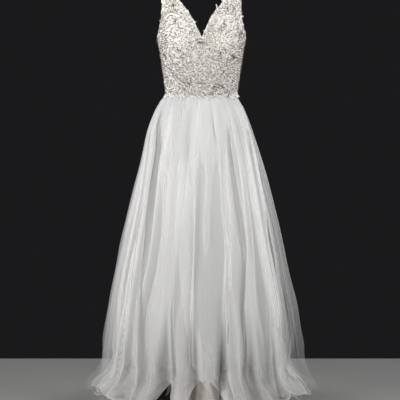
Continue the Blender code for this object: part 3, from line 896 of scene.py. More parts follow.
def lace_forms():
    """Flat motifs of the corded lace, all about their own middle."""
    petal = petal_form(7.6 * MM, 5.6 * MM, 1.6 * MM, 7)
    small_petal = petal_form(5.2 * MM, 3.9 * MM, 1.4 * MM, 6)
    leaf = petal_form(9.0 * MM, 3.9 * MM, 1.5 * MM, 6, 0.6)
    short_leaf = petal_form(6.0 * MM, 3.0 * MM, 1.4 * MM, 6, 0.5)
    blossom = joined([Form(petal.turned(2 * math.pi * number / 5).points * size + (0, 0, 0.15 * MM * number),
                           petal.triangles) for number, size in enumerate((1.0, 0.88, 1.08, 0.84, 0.96))])
    small = joined([small_petal.turned(2 * math.pi * number / 5 + 0.2 * (number % 2), size=1 - 0.09 * number)
                    for number in range(5)])
    stem = cord_form(wavy(24 * MM, 3.5 * MM, 9), 0.8 * MM).turned(0, (0, -12 * MM, 0))
    spray = [stem, leaf.turned(0.0, (0, 8 * MM, 0.2 * MM), 0.9)]
    leaves = ((-8, 1.0, 0.75), (-5, -1.05, 0.85), (-1, 0.95, 1.0), (2, -0.9, 0.95), (6, 0.7, 0.75),
              (7, -0.75, 0.7))
    for number, (height, turn, size) in enumerate(leaves):
        bow = 3.5 * math.sin((height + 12) / 24 * math.pi)
        spray.append(leaf.turned(turn, (bow * MM, height * MM, 0.1 * MM * (number % 3)), size))
    scroll = joined([
        cord_form(spiral(1.5, 5.0 * MM, 15), 0.85 * MM),
        short_leaf.turned(-1.2, (5.0 * MM, -1.0 * MM, 0), 0.9),
        short_leaf.turned(-0.1, (3.4 * MM, 1.0 * MM, 0), 0.7),
    ])
    twin = joined([
        cord_form(spiral(1.2, 4.2 * MM, 11), 0.75 * MM).turned(0, (-4.5 * MM, 0, 0)),
        cord_form(spiral(1.2, 4.2 * MM, 11) * (-1, 1), 0.75 * MM).turned(0, (4.5 * MM, 0, 0)),
        small_petal.turned(0, (0, 0.5 * MM, 0)),
    ])
    return {
        "plume": plume(leaf, 17 * MM, 7),
        "blossom": blossom,
        "spray": joined(spray),
        "small": small,
        "scroll": scroll,
        "twin": twin,
        "leaf": short_leaf.turned(0, (0, -3.0 * MM, 0)),
        "curl": cord_form(spiral(1.1, 3.4 * MM, 9), 0.8 * MM),
        "twist": cord_form(wavy(5.0 * MM, 1.3 * MM, 5, 1.6), 0.85 * MM).turned(0, (0, -2.5 * MM, 0)),
    }


Kind = namedtuple("Kind", "name reach tries low high")

# Motifs from the largest to those that fill the gaps; reach is the room each keeps round its middle
KINDS = (
    Kind("plume", 10.5, 2400, 0.8, 1.1),
    Kind("spray", 8.6, 3600, 0.8, 1.1),
    Kind("blossom", 7.6, 1400, 0.8, 1.1),
    Kind("twin", 6.2, 2600, 0.8, 1.1),
    Kind("small", 4.6, 4500, 0.8, 1.15),
    Kind("scroll", 4.2, 9000, 0.75, 1.05),
)


def lace_layout(seed):
    """Places of the motifs all round the bodice."""
    picker = np.random.default_rng(seed)
    taken = np.zeros((9000, 3))
    reaches = np.zeros(9000)
    count = 0
    items = []
    for kind in KINDS:
        degrees = picker.uniform(-180, 180, kind.tries)
        drops = picker.uniform(0.004, 0.424, kind.tries)
        turns = picker.uniform(0, 2 * math.pi, kind.tries)
        sizes = picker.uniform(kind.low, kind.high, kind.tries)
        room = kind.reach * MM * sizes
        points = body_point(degrees, drops)
        allowed = on_bodice(np.abs(degrees), drops, room * 0.5)
        allowed &= clear_of_arcs(points, 0.5 * room)
        for index in np.flatnonzero(allowed):
            away = np.linalg.norm(taken[:count] - points[index], axis=1)
            if (away < 0.76 * (reaches[:count] + room[index])).any():
                continue
            taken[count] = points[index]
            reaches[count] = room[index]
            count += 1
            flip = 1 if picker.random() < 0.5 else -1
            items.append(Item(kind.name, degrees[index], drops[index], turns[index], sizes[index], flip))
    return items


def gap_items(forms, items, seed):
    """Small cords, leaves and curls set wherever the motifs leave the net bare."""
    picker = np.random.default_rng(seed)
    covered = [laid(form, [item for item in items if item.kind == kind], 0.0).points
               for kind, form in forms.items() if any(item.kind == kind for item in items)]
    covered = np.concatenate(covered)
    tree = KDTree(len(covered) + FILL_TRIES)
    cells = set()
    for index, point in enumerate(covered):
        tree.insert(point, index)
    tree.balance()
    degrees = picker.uniform(-180, 180, FILL_TRIES)
    drops = picker.uniform(0.003, 0.42, FILL_TRIES)
    points = body_point(degrees, drops)
    added = []
    allowed = on_bodice(np.abs(degrees), drops, np.full(FILL_TRIES, 0.8 * MM))
    allowed &= clear_of_arcs(points, 0.6 * MM)
    for index in np.flatnonzero(allowed):
        room = tree.find(points[index])[2]
        if room < FILL_ROOM:
            continue
        key = tuple(np.floor(points[index] / FILL_CELL).astype(int))
        if any((key[0] + i, key[1] + j, key[2] + k) in cells
               for i in (-1, 0, 1) for j in (-1, 0, 1) for k in (-1, 0, 1)):
            continue
        cells.add(key)
        kind = "leaf" if room > 3.4 * MM else ("curl" if room > 2.6 * MM else "twist")
        added.append(Item(kind, degrees[index], drops[index], picker.uniform(0, 2 * math.pi),
                          picker.uniform(0.75, 1.05), 1))
    return added


def on_bodice(degrees, drops, margin):
    """Whether points lie on the lace, at least a margin inside its edges. All are arrays."""
    front = degrees <= 90
    turned = np.where(front, degrees, 180 - degrees)
    margin_deg = np.degrees(margin / curve(BODICE, "half_width", drops))
    in_front_v = drops < FRONT_NECK[0].drop + margin
    in_back_v = drops < BACK_NECK[0].drop
    first = np.where(front, np.where(in_front_v, neck_degrees(FRONT_NECK, drops), -90),
                     np.where(in_back_v, neck_degrees(BACK_NECK, drops), ZIP_CLEAR_DEG))
    last = np.where(drops < UNDERARM_DROP + 0.5 * margin, armhole_degrees(np.minimum(drops, 0.2104)), 200)
    low = scallop_drop(turned / 90) - margin * 0.6
    return (turned > first + margin_deg) & (turned < last - margin_deg) & (drops < low)


def edge_items(seed):
    """Small motifs set along the neck, the armholes and the scalloped lower edge, a little over them."""
    picker = random.Random(seed)
    items = []

    def along(kind, low, high, step, degrees_at, turn):
        """Set motifs down an edge."""
        drop = low
        while drop < high:
            degrees = degrees_at(drop)
            sign_turn = turn + picker.uniform(-0.5, 0.5)
            size = picker.uniform(0.7, 1.05)
            for flip in (1, -1):
                items.append(Item(picker.choice(kind), flip * degrees, drop + picker.uniform(-1, 1) * MM,
                                  flip * sign_turn, size, flip))
            drop += step * picker.uniform(0.75, 1.3)

    def armhole(drop):
        """Direction of the armhole's edge."""
        return float(armhole_degrees(drop))

    small = ("leaf", "curl", "leaf", "small")
    slim = ("leaf", "curl")
    along(small, 0.008, 0.198, 4.6 * MM, lambda drop: float(neck_degrees(FRONT_NECK, drop)) + 0.4, -1.2)
    along(small, 0.008, 0.258, 5.2 * MM, lambda drop: 180 - float(neck_degrees(BACK_NECK, drop)) + 0.3, 1.2)
    along(slim, 0.008, 0.205, 5.6 * MM, lambda drop: armhole(drop) - 0.5, 1.2)
    along(slim, 0.008, 0.205, 5.6 * MM, lambda drop: 180 - armhole(drop) + 0.5, -1.2)
    for flip in (1, -1):
        degrees = 0.0
        while degrees < 178.0:
            turned = degrees if degrees <= 90 else 180 - degrees
            drop = float(scallop_drop(turned / 90)) + picker.uniform(-1.0, 5.0) * MM
            items.append(Item(picker.choice(("leaf", "curl", "small", "scroll")), flip * degrees, drop,
                              math.pi + picker.uniform(-0.6, 0.6), picker.uniform(0.85, 1.25), flip))
            degrees += picker.uniform(1.5, 2.4)
    return items


def laid(form, items, lift):
    """Copies of a flat form laid on the bodice, one for each item."""
    degrees = np.array([item.degrees for item in items])
    drops = np.array([item.drop for item in items])
    turns = np.array([item.turn for item in items])
    sizes = np.array([item.size for item in items])
    flips = np.array([item.flip for item in items])
    _, _, _, _, per_degree, per_drop = body_frame(degrees, drops)
    x = form.points[None, :, 0] * (sizes * flips)[:, None]
    y = form.points[None, :, 1] * sizes[:, None]
    z = form.points[None, :, 2] * sizes[:, None]
    cos, sin = np.cos(turns)[:, None], np.sin(turns)[:, None]
    across = x * cos + y * sin
    down = x * sin - y * cos
    at_degrees = degrees[:, None] + across / per_degree[:, None]
    at_drops = drops[:, None] + down / per_drop[:, None]
    point, normal, _, _, _, _ = body_frame(at_degrees, at_drops)
    lifts = lift + 0.25 * MM * (np.arange(len(items)) % 3)
    points = point + normal * (z + lifts[:, None])[..., None]
    count = form.points.shape[0]
    triangles = form.triangles[None, :, :] + (np.arange(len(items)) * count)[:, None, None]
    flipped = flips < 0
    triangles[flipped] = triangles[flipped][..., ::-1]
    return Form(points.reshape(-1, 3), triangles.reshape(-1, 3))


def mesh_piece(name, form, smooth=True):
    """Object of a form's triangles."""
    mesh = bpy.data.meshes.new(name)
    mesh.vertices.add(len(form.points))
    mesh.vertices.foreach_set("co", form.points.astype(np.float32).ravel())
    mesh.loops.add(len(form.triangles) * 3)
    mesh.loops.foreach_set("vertex_index", form.triangles.astype(np.int32).ravel())
    mesh.polygons.add(len(form.triangles))
    mesh.polygons.foreach_set("loop_start", np.arange(0, len(form.triangles) * 3, 3, dtype=np.int32))
    mesh.polygons.foreach_set("use_smooth", np.full(len(form.triangles), smooth))
    mesh.update(calc_edges=True)
    mesh.validate()
    item = bpy.data.objects.new(name, mesh)
    bpy.context.scene.collection.objects.link(item)
    return item


def by_panel(items):
    """Items on the front, and on the right and left backs."""
    return {
        "front": [item for item in items if abs(item.degrees) <= 90],
        "back_right": [item for item in items if item.degrees > 90],
        "back_left": [item for item in items if item.degrees < -90],
    }


def cloth_material(name, colour, roughness, sheen=0.0):
    """Principled material with its shader returned for more nodes."""
    material = bpy.data.materials.new(name)
    material.use_nodes = True
    shader = material.node_tree.nodes["Principled BSDF"]
    shader.inputs["Base Color"].default_value = (*colour, 1)
    shader.inputs["Roughness"].default_value = roughness
    shader.inputs["Sheen Weight"].default_value = sheen
    shader.inputs["Sheen Roughness"].default_value = 0.5
    return material, material.node_tree, shader


def shaded(colour, share):
    """Colour darkened to a share of itself."""
    return tuple(share * part for part in colour)


def stretched_noise(tree, scale, detail, where="cloth"):
    """Noise on the cloth's own UVs, stretched by the given numbers of features per metre."""
    uv = tree.nodes.new("ShaderNodeUVMap")
    uv.uv_map = where
    mapping = tree.nodes.new("ShaderNodeMapping")
    mapping.inputs["Scale"].default_value = scale
    noise = tree.nodes.new("ShaderNodeTexNoise")
    noise.inputs["Scale"].default_value = 1.0
    noise.inputs["Detail"].default_value = detail
    noise.inputs["Roughness"].default_value = 0.6
    tree.links.new(uv.outputs["UV"], mapping.inputs["Vector"])
    tree.links.new(mapping.outputs["Vector"], noise.inputs["Vector"])
    return noise.outputs["Fac"]


def mapped(tree, value, low, high, out_low, out_high):
    """Map Range node."""
    node = tree.nodes.new("ShaderNodeMapRange")
    node.inputs["From Min"].default_value = low
    node.inputs["From Max"].default_value = high
    node.inputs["To Min"].default_value = out_low
    node.inputs["To Max"].default_value = out_high
    tree.links.new(value, node.inputs["Value"])
    return node.outputs["Result"]


def split_place(tree):
    """The piece's own coordinates, whole and split into X, Y and Z."""
    coordinates = tree.nodes.new("ShaderNodeTexCoord")
    split = tree.nodes.new("ShaderNodeSeparateXYZ")
    tree.links.new(coordinates.outputs["Object"], split.inputs["Vector"])
    return coordinates.outputs["Object"], split.outputs


def blended(tree, shader, factor, first, second):
    """Base colour that goes from one colour to another by a factor."""
    blend = tree.nodes.new("ShaderNodeMix")
    blend.data_type = "RGBA"
    blend.inputs["A"].default_value = (*first, 1)
    blend.inputs["B"].default_value = (*second, 1)
    tree.links.new(factor, blend.inputs["Factor"])
    tree.links.new(blend.outputs["Result"], shader.inputs["Base Color"])


def bumped(tree, shader, height, strength, distance):
    """Bump from a height."""
    bump = tree.nodes.new("ShaderNodeBump")
    bump.inputs["Strength"].default_value = strength
    bump.inputs["Distance"].default_value = distance
    tree.links.new(height, bump.inputs["Height"])
    tree.links.new(bump.outputs["Normal"], shader.inputs["Normal"])


def math_node(tree, operation, first, second):
    """Math node of two sockets or numbers."""
    node = tree.nodes.new("ShaderNodeMath")
    node.operation = operation
    node.use_clamp = operation == "MULTIPLY_ADD"
    for index, value in enumerate((first, second)):
        if isinstance(value, (int, float)):
            node.inputs[index].default_value = value
        else:
            tree.links.new(value, node.inputs[index])
    return node.outputs["Value"]


def tulle_material(name, colour, waist_alpha, hem_alpha, streak):
    """Sheer net: denser where it is gathered at the waist, with painted shade that darkens its colour towards
    the waist, and fine streaks down its length.
    """
    material, tree, shader = cloth_material(name, colour, 0.85, 0.7)
    _, place = split_place(tree)
    density = mapped(tree, place["Z"], -WAIST_DROP, -HEM_DROP, waist_alpha, hem_alpha)
    # Painted shade: the colour goes from a darker share at the waist to the full tulle white lower down
    open_share = mapped(tree, place["Z"], -WAIST_DROP, -PAINTED_SHADE_FOOT_DROP, 0.0, 1.0)
    blended(tree, shader, open_share, shaded(colour, GATHER_PAINTED_SHADE), colour)
    streaks = stretched_noise(tree, (260.0, 3.0, 1.0), 4.0)
    fine = mapped(tree, streaks, 0.3, 0.7, 1.0 - streak, 1.0 + streak)
    clouds = stretched_noise(tree, (14.0, 2.2, 1.0), 3.0)
    broad = mapped(tree, clouds, 0.3, 0.7, 1.0 - 0.6 * streak, 1.0 + 0.6 * streak)
    airy = mapped(tree, place["Z"], -AIRY_TOP_DROP, -HEM_DROP, 1.0, AIRY_SHARE)
    alpha = math_node(tree, "MULTIPLY", math_node(tree, "MULTIPLY", density, airy), fine)
    alpha = math_node(tree, "MULTIPLY", alpha, broad)
    turned = tree.nodes.new("ShaderNodeAttribute")
    turned.attribute_name = "fold_edge"
    edge = mapped(tree, turned.outputs["Fac"], 0.0, 1.0, 1.0, FOLD_EDGE_GAIN)
    alpha = math_node(tree, "MULTIPLY", alpha, edge)
    uv = tree.nodes.new("ShaderNodeUVMap")
    uv.uv_map = "cloth"
    cloth = tree.nodes.new("ShaderNodeSeparateXYZ")
    tree.links.new(uv.outputs["UV"], cloth.inputs["Vector"])
    band = mapped(tree, cloth.outputs["Y"], 0.002, 0.008, HEM_BAND_GAIN, 1.0)
    alpha = math_node(tree, "MULTIPLY", alpha, band)
    alpha = math_node(tree, "MINIMUM", alpha, 1.0)
    tree.links.new(alpha, shader.inputs["Alpha"])
    return material


def uneven(tree, shader, colour, share, scale, rough, bump_height):
    """Give a finish small changes of tone, gloss and height, by noise on the piece's own coordinates."""
    coordinates = tree.nodes.new("ShaderNodeTexCoord")
    noise = tree.nodes.new("ShaderNodeTexNoise")
    noise.inputs["Scale"].default_value = scale
    noise.inputs["Detail"].default_value = 3.0
    tree.links.new(coordinates.outputs["Object"], noise.inputs["Vector"])
    tone = mapped(tree, noise.outputs["Fac"], 0.35, 0.65, 0.0, 1.0)
    blended(tree, shader, tone, shaded(colour, 1.0 - share), colour)
    tree.links.new(mapped(tree, noise.outputs["Fac"], 0.3, 0.7, *rough), shader.inputs["Roughness"])
    bumped(tree, shader, noise.outputs["Fac"], 0.35, bump_height)


def net_material(colour):
    """Champagne net: paler on the cups, partly for the ivory lining behind it and partly as painted light on
    the cups' fullness, with a fine uneven mesh.
    """
    material, tree, shader = cloth_material("champagne net", colour, 0.7, 0.2)
    whole, place = split_place(tree)
    # Paler on the cups: partly the ivory lining behind the net, partly painted light where the full cups
    # catch the light
    aside = math_node(tree, "ABSOLUTE", place["X"], 0)
    aside = mapped(tree, aside, 0.040, 0.130, -1.0, 1.0)
    up = mapped(tree, place["Z"], -0.290, -0.128, -1.0, 1.0)
    aside = math_node(tree, "MULTIPLY", aside, aside)
    up = math_node(tree, "MULTIPLY", up, up)
    reach = math_node(tree, "ADD", aside, up)
    cup = mapped(tree, reach, 1.0, 0.75, 0.0, 1.0)
    front = mapped(tree, place["Y"], 0.0, -0.02, 0.0, 1.0)
    blended(tree, shader, math_node(tree, "MULTIPLY", cup, front), colour, (0.74, 0.70, 0.64))
    mesh = tree.nodes.new("ShaderNodeTexVoronoi")
    mesh.inputs["Scale"].default_value = 650
    tree.links.new(whole, mesh.inputs["Vector"])
    bumped(tree, shader, mesh.outputs["Distance"], 0.4, 0.0006)
    return material


def lining_material(name, colour):
    """Lining cloth with a faint uneven weave."""
    material, tree, shader = cloth_material(name, colour, 0.5, 0.2)
    coordinates = tree.nodes.new("ShaderNodeTexCoord")
    noise = tree.nodes.new("ShaderNodeTexNoise")
    noise.inputs["Scale"].default_value = 900
    tree.links.new(coordinates.outputs["Object"], noise.inputs["Vector"])
    tree.links.new(mapped(tree, noise.outputs["Fac"], 0.3, 0.7, 0.42, 0.6), shader.inputs["Roughness"])
    bumped(tree, shader, noise.outputs["Fac"], 0.25, 0.0003)
    return material


def metal_material():
    """Brushed zip metal."""
    material, tree, shader = cloth_material("brushed zip metal", (0.62, 0.60, 0.57), 0.3)
    shader.inputs["Metallic"].default_value = 1.0
    coordinates = tree.nodes.new("ShaderNodeTexCoord")
    mapping = tree.nodes.new("ShaderNodeMapping")
    mapping.inputs["Scale"].default_value = (9000, 9000, 300)
    noise = tree.nodes.new("ShaderNodeTexNoise")
    noise.inputs["Scale"].default_value = 1.0
    tree.links.new(coordinates.outputs["Object"], mapping.inputs["Vector"])
    tree.links.new(mapping.outputs["Vector"], noise.inputs["Vector"])
    tree.links.new(mapped(tree, noise.outputs["Fac"], 0.3, 0.7, 0.22, 0.42), shader.inputs["Roughness"])
    return material


def satin_material(colour):
    """Blush satin with a soft uneven sheen."""
    material, tree, shader = cloth_material("blush satin", colour, 0.34, 0.15)
    noise = stretched_noise(tree, (9.0, 2.0, 1.0), 3.0)
    rough = mapped(tree, noise, 0.3, 0.7, 0.30, 0.42)
    tree.links.new(rough, shader.inputs["Roughness"])
    return material


def dress_piece(item, material, replaces=()):
    """Give a piece its material and fasten it to the dress's body."""
    item.data.materials.clear()
    item.data.materials.append(material)
    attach(item, BODY)
    if replaces:
        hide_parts(*replaces)


class DRESS_OT_stage(bpy.types.Operator):
    """Floor, soft lights and camera"""

    bl_idname = "dress.stage"
    bl_label = "Stage"

    def execute(self, context):
        stage = context.scene.dress_stage
        floor_z = CAD_BOX[0].z - 0.0005
        bpy.ops.object.select_all(action="DESELECT")
        bpy.ops.mesh.primitive_plane_add(size=1.0, location=(0, 0, 0))
        floor = context.object
        floor.name = "floor"
        for vert in floor.data.vertices:
            vert.co = Vector((vert.co.x * 5.0, vert.co.y * 2.6 - 0.65, floor_z))
        floor_colour = (0.42, 0.415, 0.41)
        floor_finish, tree, shader = cloth_material("pale floor", floor_colour, 0.8)
        uneven(tree, shader, floor_colour, 0.06, 3.0, (0.74, 0.86), 0.0005)
        floor.data.materials.append(floor_finish)

        world = bpy.data.worlds.new("studio")
        world.use_nodes = True
        background = world.node_tree.nodes["Background"]
        background.inputs["Color"].default_value = (0.0105, 0.0100, 0.0110, 1)
        background.inputs["Strength"].default_value = 1.0
        context.scene.world = world

        self.softbox("front left", (-3.0, -1.9, -0.60), (0, 0, -0.49), 1.4, 23.6, 86)
        self.softbox("front right", (3.1, -1.7, -0.60), (0.05, 0, -0.49), 1.4, 21.0, 86)
        self.softbox("top front", (-0.2, -2.7, 1.0), (0.02, 0, 0.27), 1.0, 5.0, 32)
        self.softbox("back left", (-1.9, 2.6, -0.4), (0, 0, -0.4), 1.4, 10, 70)
        self.softbox("back right", (1.9, 2.6, -0.4), (0, 0, -0.4), 1.4, 10, 70)

        centre_z = floor_z + stage.aim_height
        camera_z = floor_z + stage.height
        camera_data = bpy.data.cameras.new("camera")
        camera = bpy.data.objects.new("camera", camera_data)
        context.scene.collection.objects.link(camera)
        camera_data.lens = stage.lens
        camera_data.sensor_width = 36.0
        camera.location = (stage.aim_side, -stage.distance, camera_z)
        aim = Vector((stage.aim_side, 0, centre_z)) - camera.location
        camera.rotation_euler = aim.to_track_quat("-Z", "Y").to_euler()
        context.scene.camera = camera
        context.scene.view_settings.view_transform = "Standard"
        return {"FINISHED"}

    def softbox(self, name, place, aim, size, power, spread_deg):
        """Square area light turned towards a point, shaded so that it spills little on the floor."""
        data = bpy.data.lights.new(name, "AREA")
        data.shape = "SQUARE"
        data.size = size
        data.energy = power
        data.spread = math.radians(spread_deg)
        light = bpy.data.objects.new(name, data)
        bpy.context.scene.collection.objects.link(light)
        light.location = place
        light.rotation_euler = (Vector(aim) - Vector(place)).to_track_quat("-Z", "Y").to_euler()


class DRESS_OT_underskirt(bpy.types.Operator):
    """Satin underskirt"""

    bl_idname = "dress.underskirt"
    bl_label = "Satin Underskirt"

    def execute(self, context):
        skirt = context.scene.dress_skirt
        folds = [fold._replace(lean=0.5, depth=0.5 * fold.depth) for fold in UNDER_FOLDS]
        satin = skirt_layer("satin_underskirt", 260, 64, skirt.satin_gap, folds, SATIN_GATHERS,
                            SATIN_LIFTS, 41, 0.004)
        scale_uvs(satin, 2.0, 1.05)
        dress_piece(satin, satin_material(context.scene.dress_cloth.satin), ["underskirt"])
        return {"FINISHED"}


class DRESS_OT_tulle(bpy.types.Operator):
    """The three tulle layers, from the inside out"""

    bl_idname = "dress.tulle"
    bl_label = "Tulle Layers"

    def execute(self, context):
        skirt = context.scene.dress_skirt
        colour = context.scene.dress_cloth.tulle
        under = skirt_layer("tulle_under", 440, 96, skirt.under_gap, all_folds(UNDER_FOLDS, 12, 3),
                            UNDER_GATHERS, UNDER_LIFTS, 31, 0.006)
        scale_uvs(under, 3.0, 1.05)
        # Painted shade: the inner tulle is a darker copy of the tulle white, for the shade it lies in under
        # the outer layers
        finish = tulle_material("inner tulle", shaded(colour, 0.94), 1.0, 0.79, 0.05)
        dress_piece(under, finish, ["tulle_inner"])

        middle = skirt_layer("tulle_middle", 520, 104, skirt.middle_gap, all_folds(MIDDLE_FOLDS, 14, 2),
                             MIDDLE_GATHERS, MIDDLE_LIFTS, 21, 0.011)
        scale_uvs(middle, 3.8, 1.05)
        # Painted shade: the middle tulle is a slightly darker copy of the tulle white, for the shade under
        # the outer layer
        dress_piece(middle, tulle_material("middle tulle", shaded(colour, 0.97), 0.66, 0.32, 0.05))

        outer = skirt_layer("tulle_outer_sheer", skirt.outer_columns, skirt.outer_rows, skirt.outer_gap,
                            all_folds(OUTER_FOLDS, 12, 1), OUTER_GATHERS, OUTER_LIFTS, 11, 0.013)
        scale_uvs(outer, 4.0, 1.05)
        dress_piece(outer, tulle_material("outer tulle", colour, 0.34, 0.10, 0.05), ["tulle_outer"])
        outer.visible_shadow = False
        return {"FINISHED"}


class DRESS_OT_ground(bpy.types.Operator):
    """Champagne net of the bodice, front and two backs, with the tops of the cup lining and a painted shadow
    line above each
    """

    bl_idname = "dress.ground"
    bl_label = "Bodice Ground"

    def execute(self, context):
        material = net_material(context.scene.dress_cloth.ground)
        front = half_panel("net_front", 1)
        mirror_half(front)
        self.wall(front)
        dress_piece(front, material, ["bodice_front"])
        for name, side in (("net_back_right", 1), ("net_back_left", -1)):
            back = half_panel(name, -1, side)
            self.wall(back)
            dress_piece(back, material, [name.replace("net", "bodice")])
        band = lining_material("ivory lining band", (0.88, 0.86, 0.82))
        lining = lining_half()
        mirror_half(lining)
        dress_piece(lining, band, ["front_lining"])
        # Painted shadow: a dark taupe cord just above each lining band stands in for the shadow line the
        # lining's top casts under the net
        edge = lining_material("lining top painted shadow", (0.30, 0.235, 0.18))
        for name, arc in (("lining_top_left", LEFT_ARC), ("lining_top_right", RIGHT_ARC)):
            degrees, drops = arc_line(arc)
            # The edge part is the painted shadow cord, the band part the ivory lining top
            for part, material, down, width, height in (
                    ("edge", edge, -1.0, 3.2, 0.9), ("band", band, 3.6, 5.6, 1.6)):
                point, normal, _, _, _, _ = body_frame(degrees, drops + down * MM)
                piece = mesh_piece(f"{name}_{part}", ribbon(point, normal, width * MM, height * MM, 1.5 * MM))
                dress_piece(piece, material)
        return {"FINISHED"}

    def wall(self, item):
        """Thicken a panel outwards."""
        select_only(item)
        bpy.ops.object.mode_set(mode="EDIT")
        bpy.ops.mesh.select_all(action="SELECT")
        bpy.ops.mesh.normals_make_consistent(inside=False)
        bpy.ops.object.mode_set(mode="OBJECT")
        middle = item.data.polygons[len(item.data.polygons) // 2]
        if middle.normal.dot(Vector((middle.center.x, middle.center.y, 0))) < 0:
            item.data.flip_normals()
        wall = item.modifiers.new("wall", "SOLIDIFY")
        wall.thickness = 1.2 * MM
        wall.offset = 1.0
        bpy.ops.object.modifier_apply(modifier="wall")
        bpy.ops.object.shade_smooth()


def mirror_half(item):
    """Add the other half of a sheet that ends on the centre line."""
    other = item.modifiers.new("other half", "MIRROR")
    other.use_clip = True
    other.merge_threshold = 0.00002
    select_only(item)
    bpy.ops.object.modifier_apply(modifier="other half")


def half_panel(name, front, side=1):
    """Open sheet of half the front, or of one back, on the bodice's form."""
    neck = FRONT_NECK if front > 0 else BACK_NECK

    def place(u, v):
        drop = np.maximum((scallop_drop(u) - NET_SHORT) * (1 - v), 0.0004)
        half = curve(BODICE, "half_width", drop)
        first = np.where(drop < neck[0].drop, neck_degrees(neck, drop), 0.0)
        if front < 0:
            first = np.maximum(first, np.degrees(np.arcsin(ZIP_HALF_GAP / half)))
        last = armhole_degrees(drop) - 0.06
        degrees = first + (last - first) * u
        return body_point(side * (degrees if front > 0 else 180 - degrees), drop)

    return grid_piece(name, 50, 64, place)


def lining_half():
    """Half of the lining inside the front, from the waist to the top of a cup."""

    def place(u, v):
        top = LINING_TOP - LINING_CROWN * np.sin(math.pi * np.clip(u * 1.15, 0, 1)) ** 2
        drop = LINING_LOW + (top - LINING_LOW) * v
        first = np.where(drop < FRONT_NECK[0].drop, neck_degrees(FRONT_NECK, drop) + LINING_INSET_DEG, 0.0)
        last = np.minimum(armhole_degrees(drop), 90.0) - LINING_INSET_DEG
        point, normal, _, _, _, _ = body_frame(first + (last - first) * u, drop)
        return point - normal * LINING_GAP * np.minimum(u * 50, 1)[:, None]

    return grid_piece("lining_front", 45, 60, place)


def ribbon(points, normals, width, height, lift):
    """Low round cord of triangles along a line of points on the bodice."""
    along = np.gradient(points, axis=0)
    along /= np.linalg.norm(along, axis=1, keepdims=True)
    across = np.cross(along, normals)
    rings = []
    for turn in np.linspace(0, math.pi, 5):
        sideways = across * (width / 2 * math.cos(turn))
        rings.append(points + sideways + normals * (lift + height * math.sin(turn)))
    rings = np.stack(rings, axis=1).reshape(-1, 3)
    triangles = []
    for index in range(len(points) - 1):
        for number in range(4):
            near = index * 5 + number
            triangles.append((near, near + 5, near + 1))
            triangles.append((near + 1, near + 5, near + 6))
    return Form(rings, triangles)


# The lace as laid, kept for the beads that are sewn along it
LACE = {}


class DRESS_OT_lace(bpy.types.Operator):
    """Corded lace motifs laid over the bodice's net"""

    bl_idname = "dress.lace"
    bl_label = "Corded Lace"

    def execute(self, context):
        lace = context.scene.dress_cloth.lace
        material, tree, shader = cloth_material("ivory cord lace", lace, 0.62, 0.3)
        uneven(tree, shader, lace, 0.10, 420, (0.52, 0.72), 0.0004)
        forms = lace_forms()
        motifs = lace_layout(7)
        motifs += gap_items(forms, motifs, 9)
        LACE.update(forms=forms, motifs=motifs)
        for panel, items in by_panel(motifs + edge_items(8)).items():
            parts = []
            for kind, form in forms.items():
                chosen = [item for item in items if item.kind == kind]
                if chosen:
                    parts.append(laid(form, chosen, 1.25 * MM))
            piece = mesh_piece(f"lace_{panel}", joined(parts))
            dress_piece(piece, material)
        return {"FINISHED"}


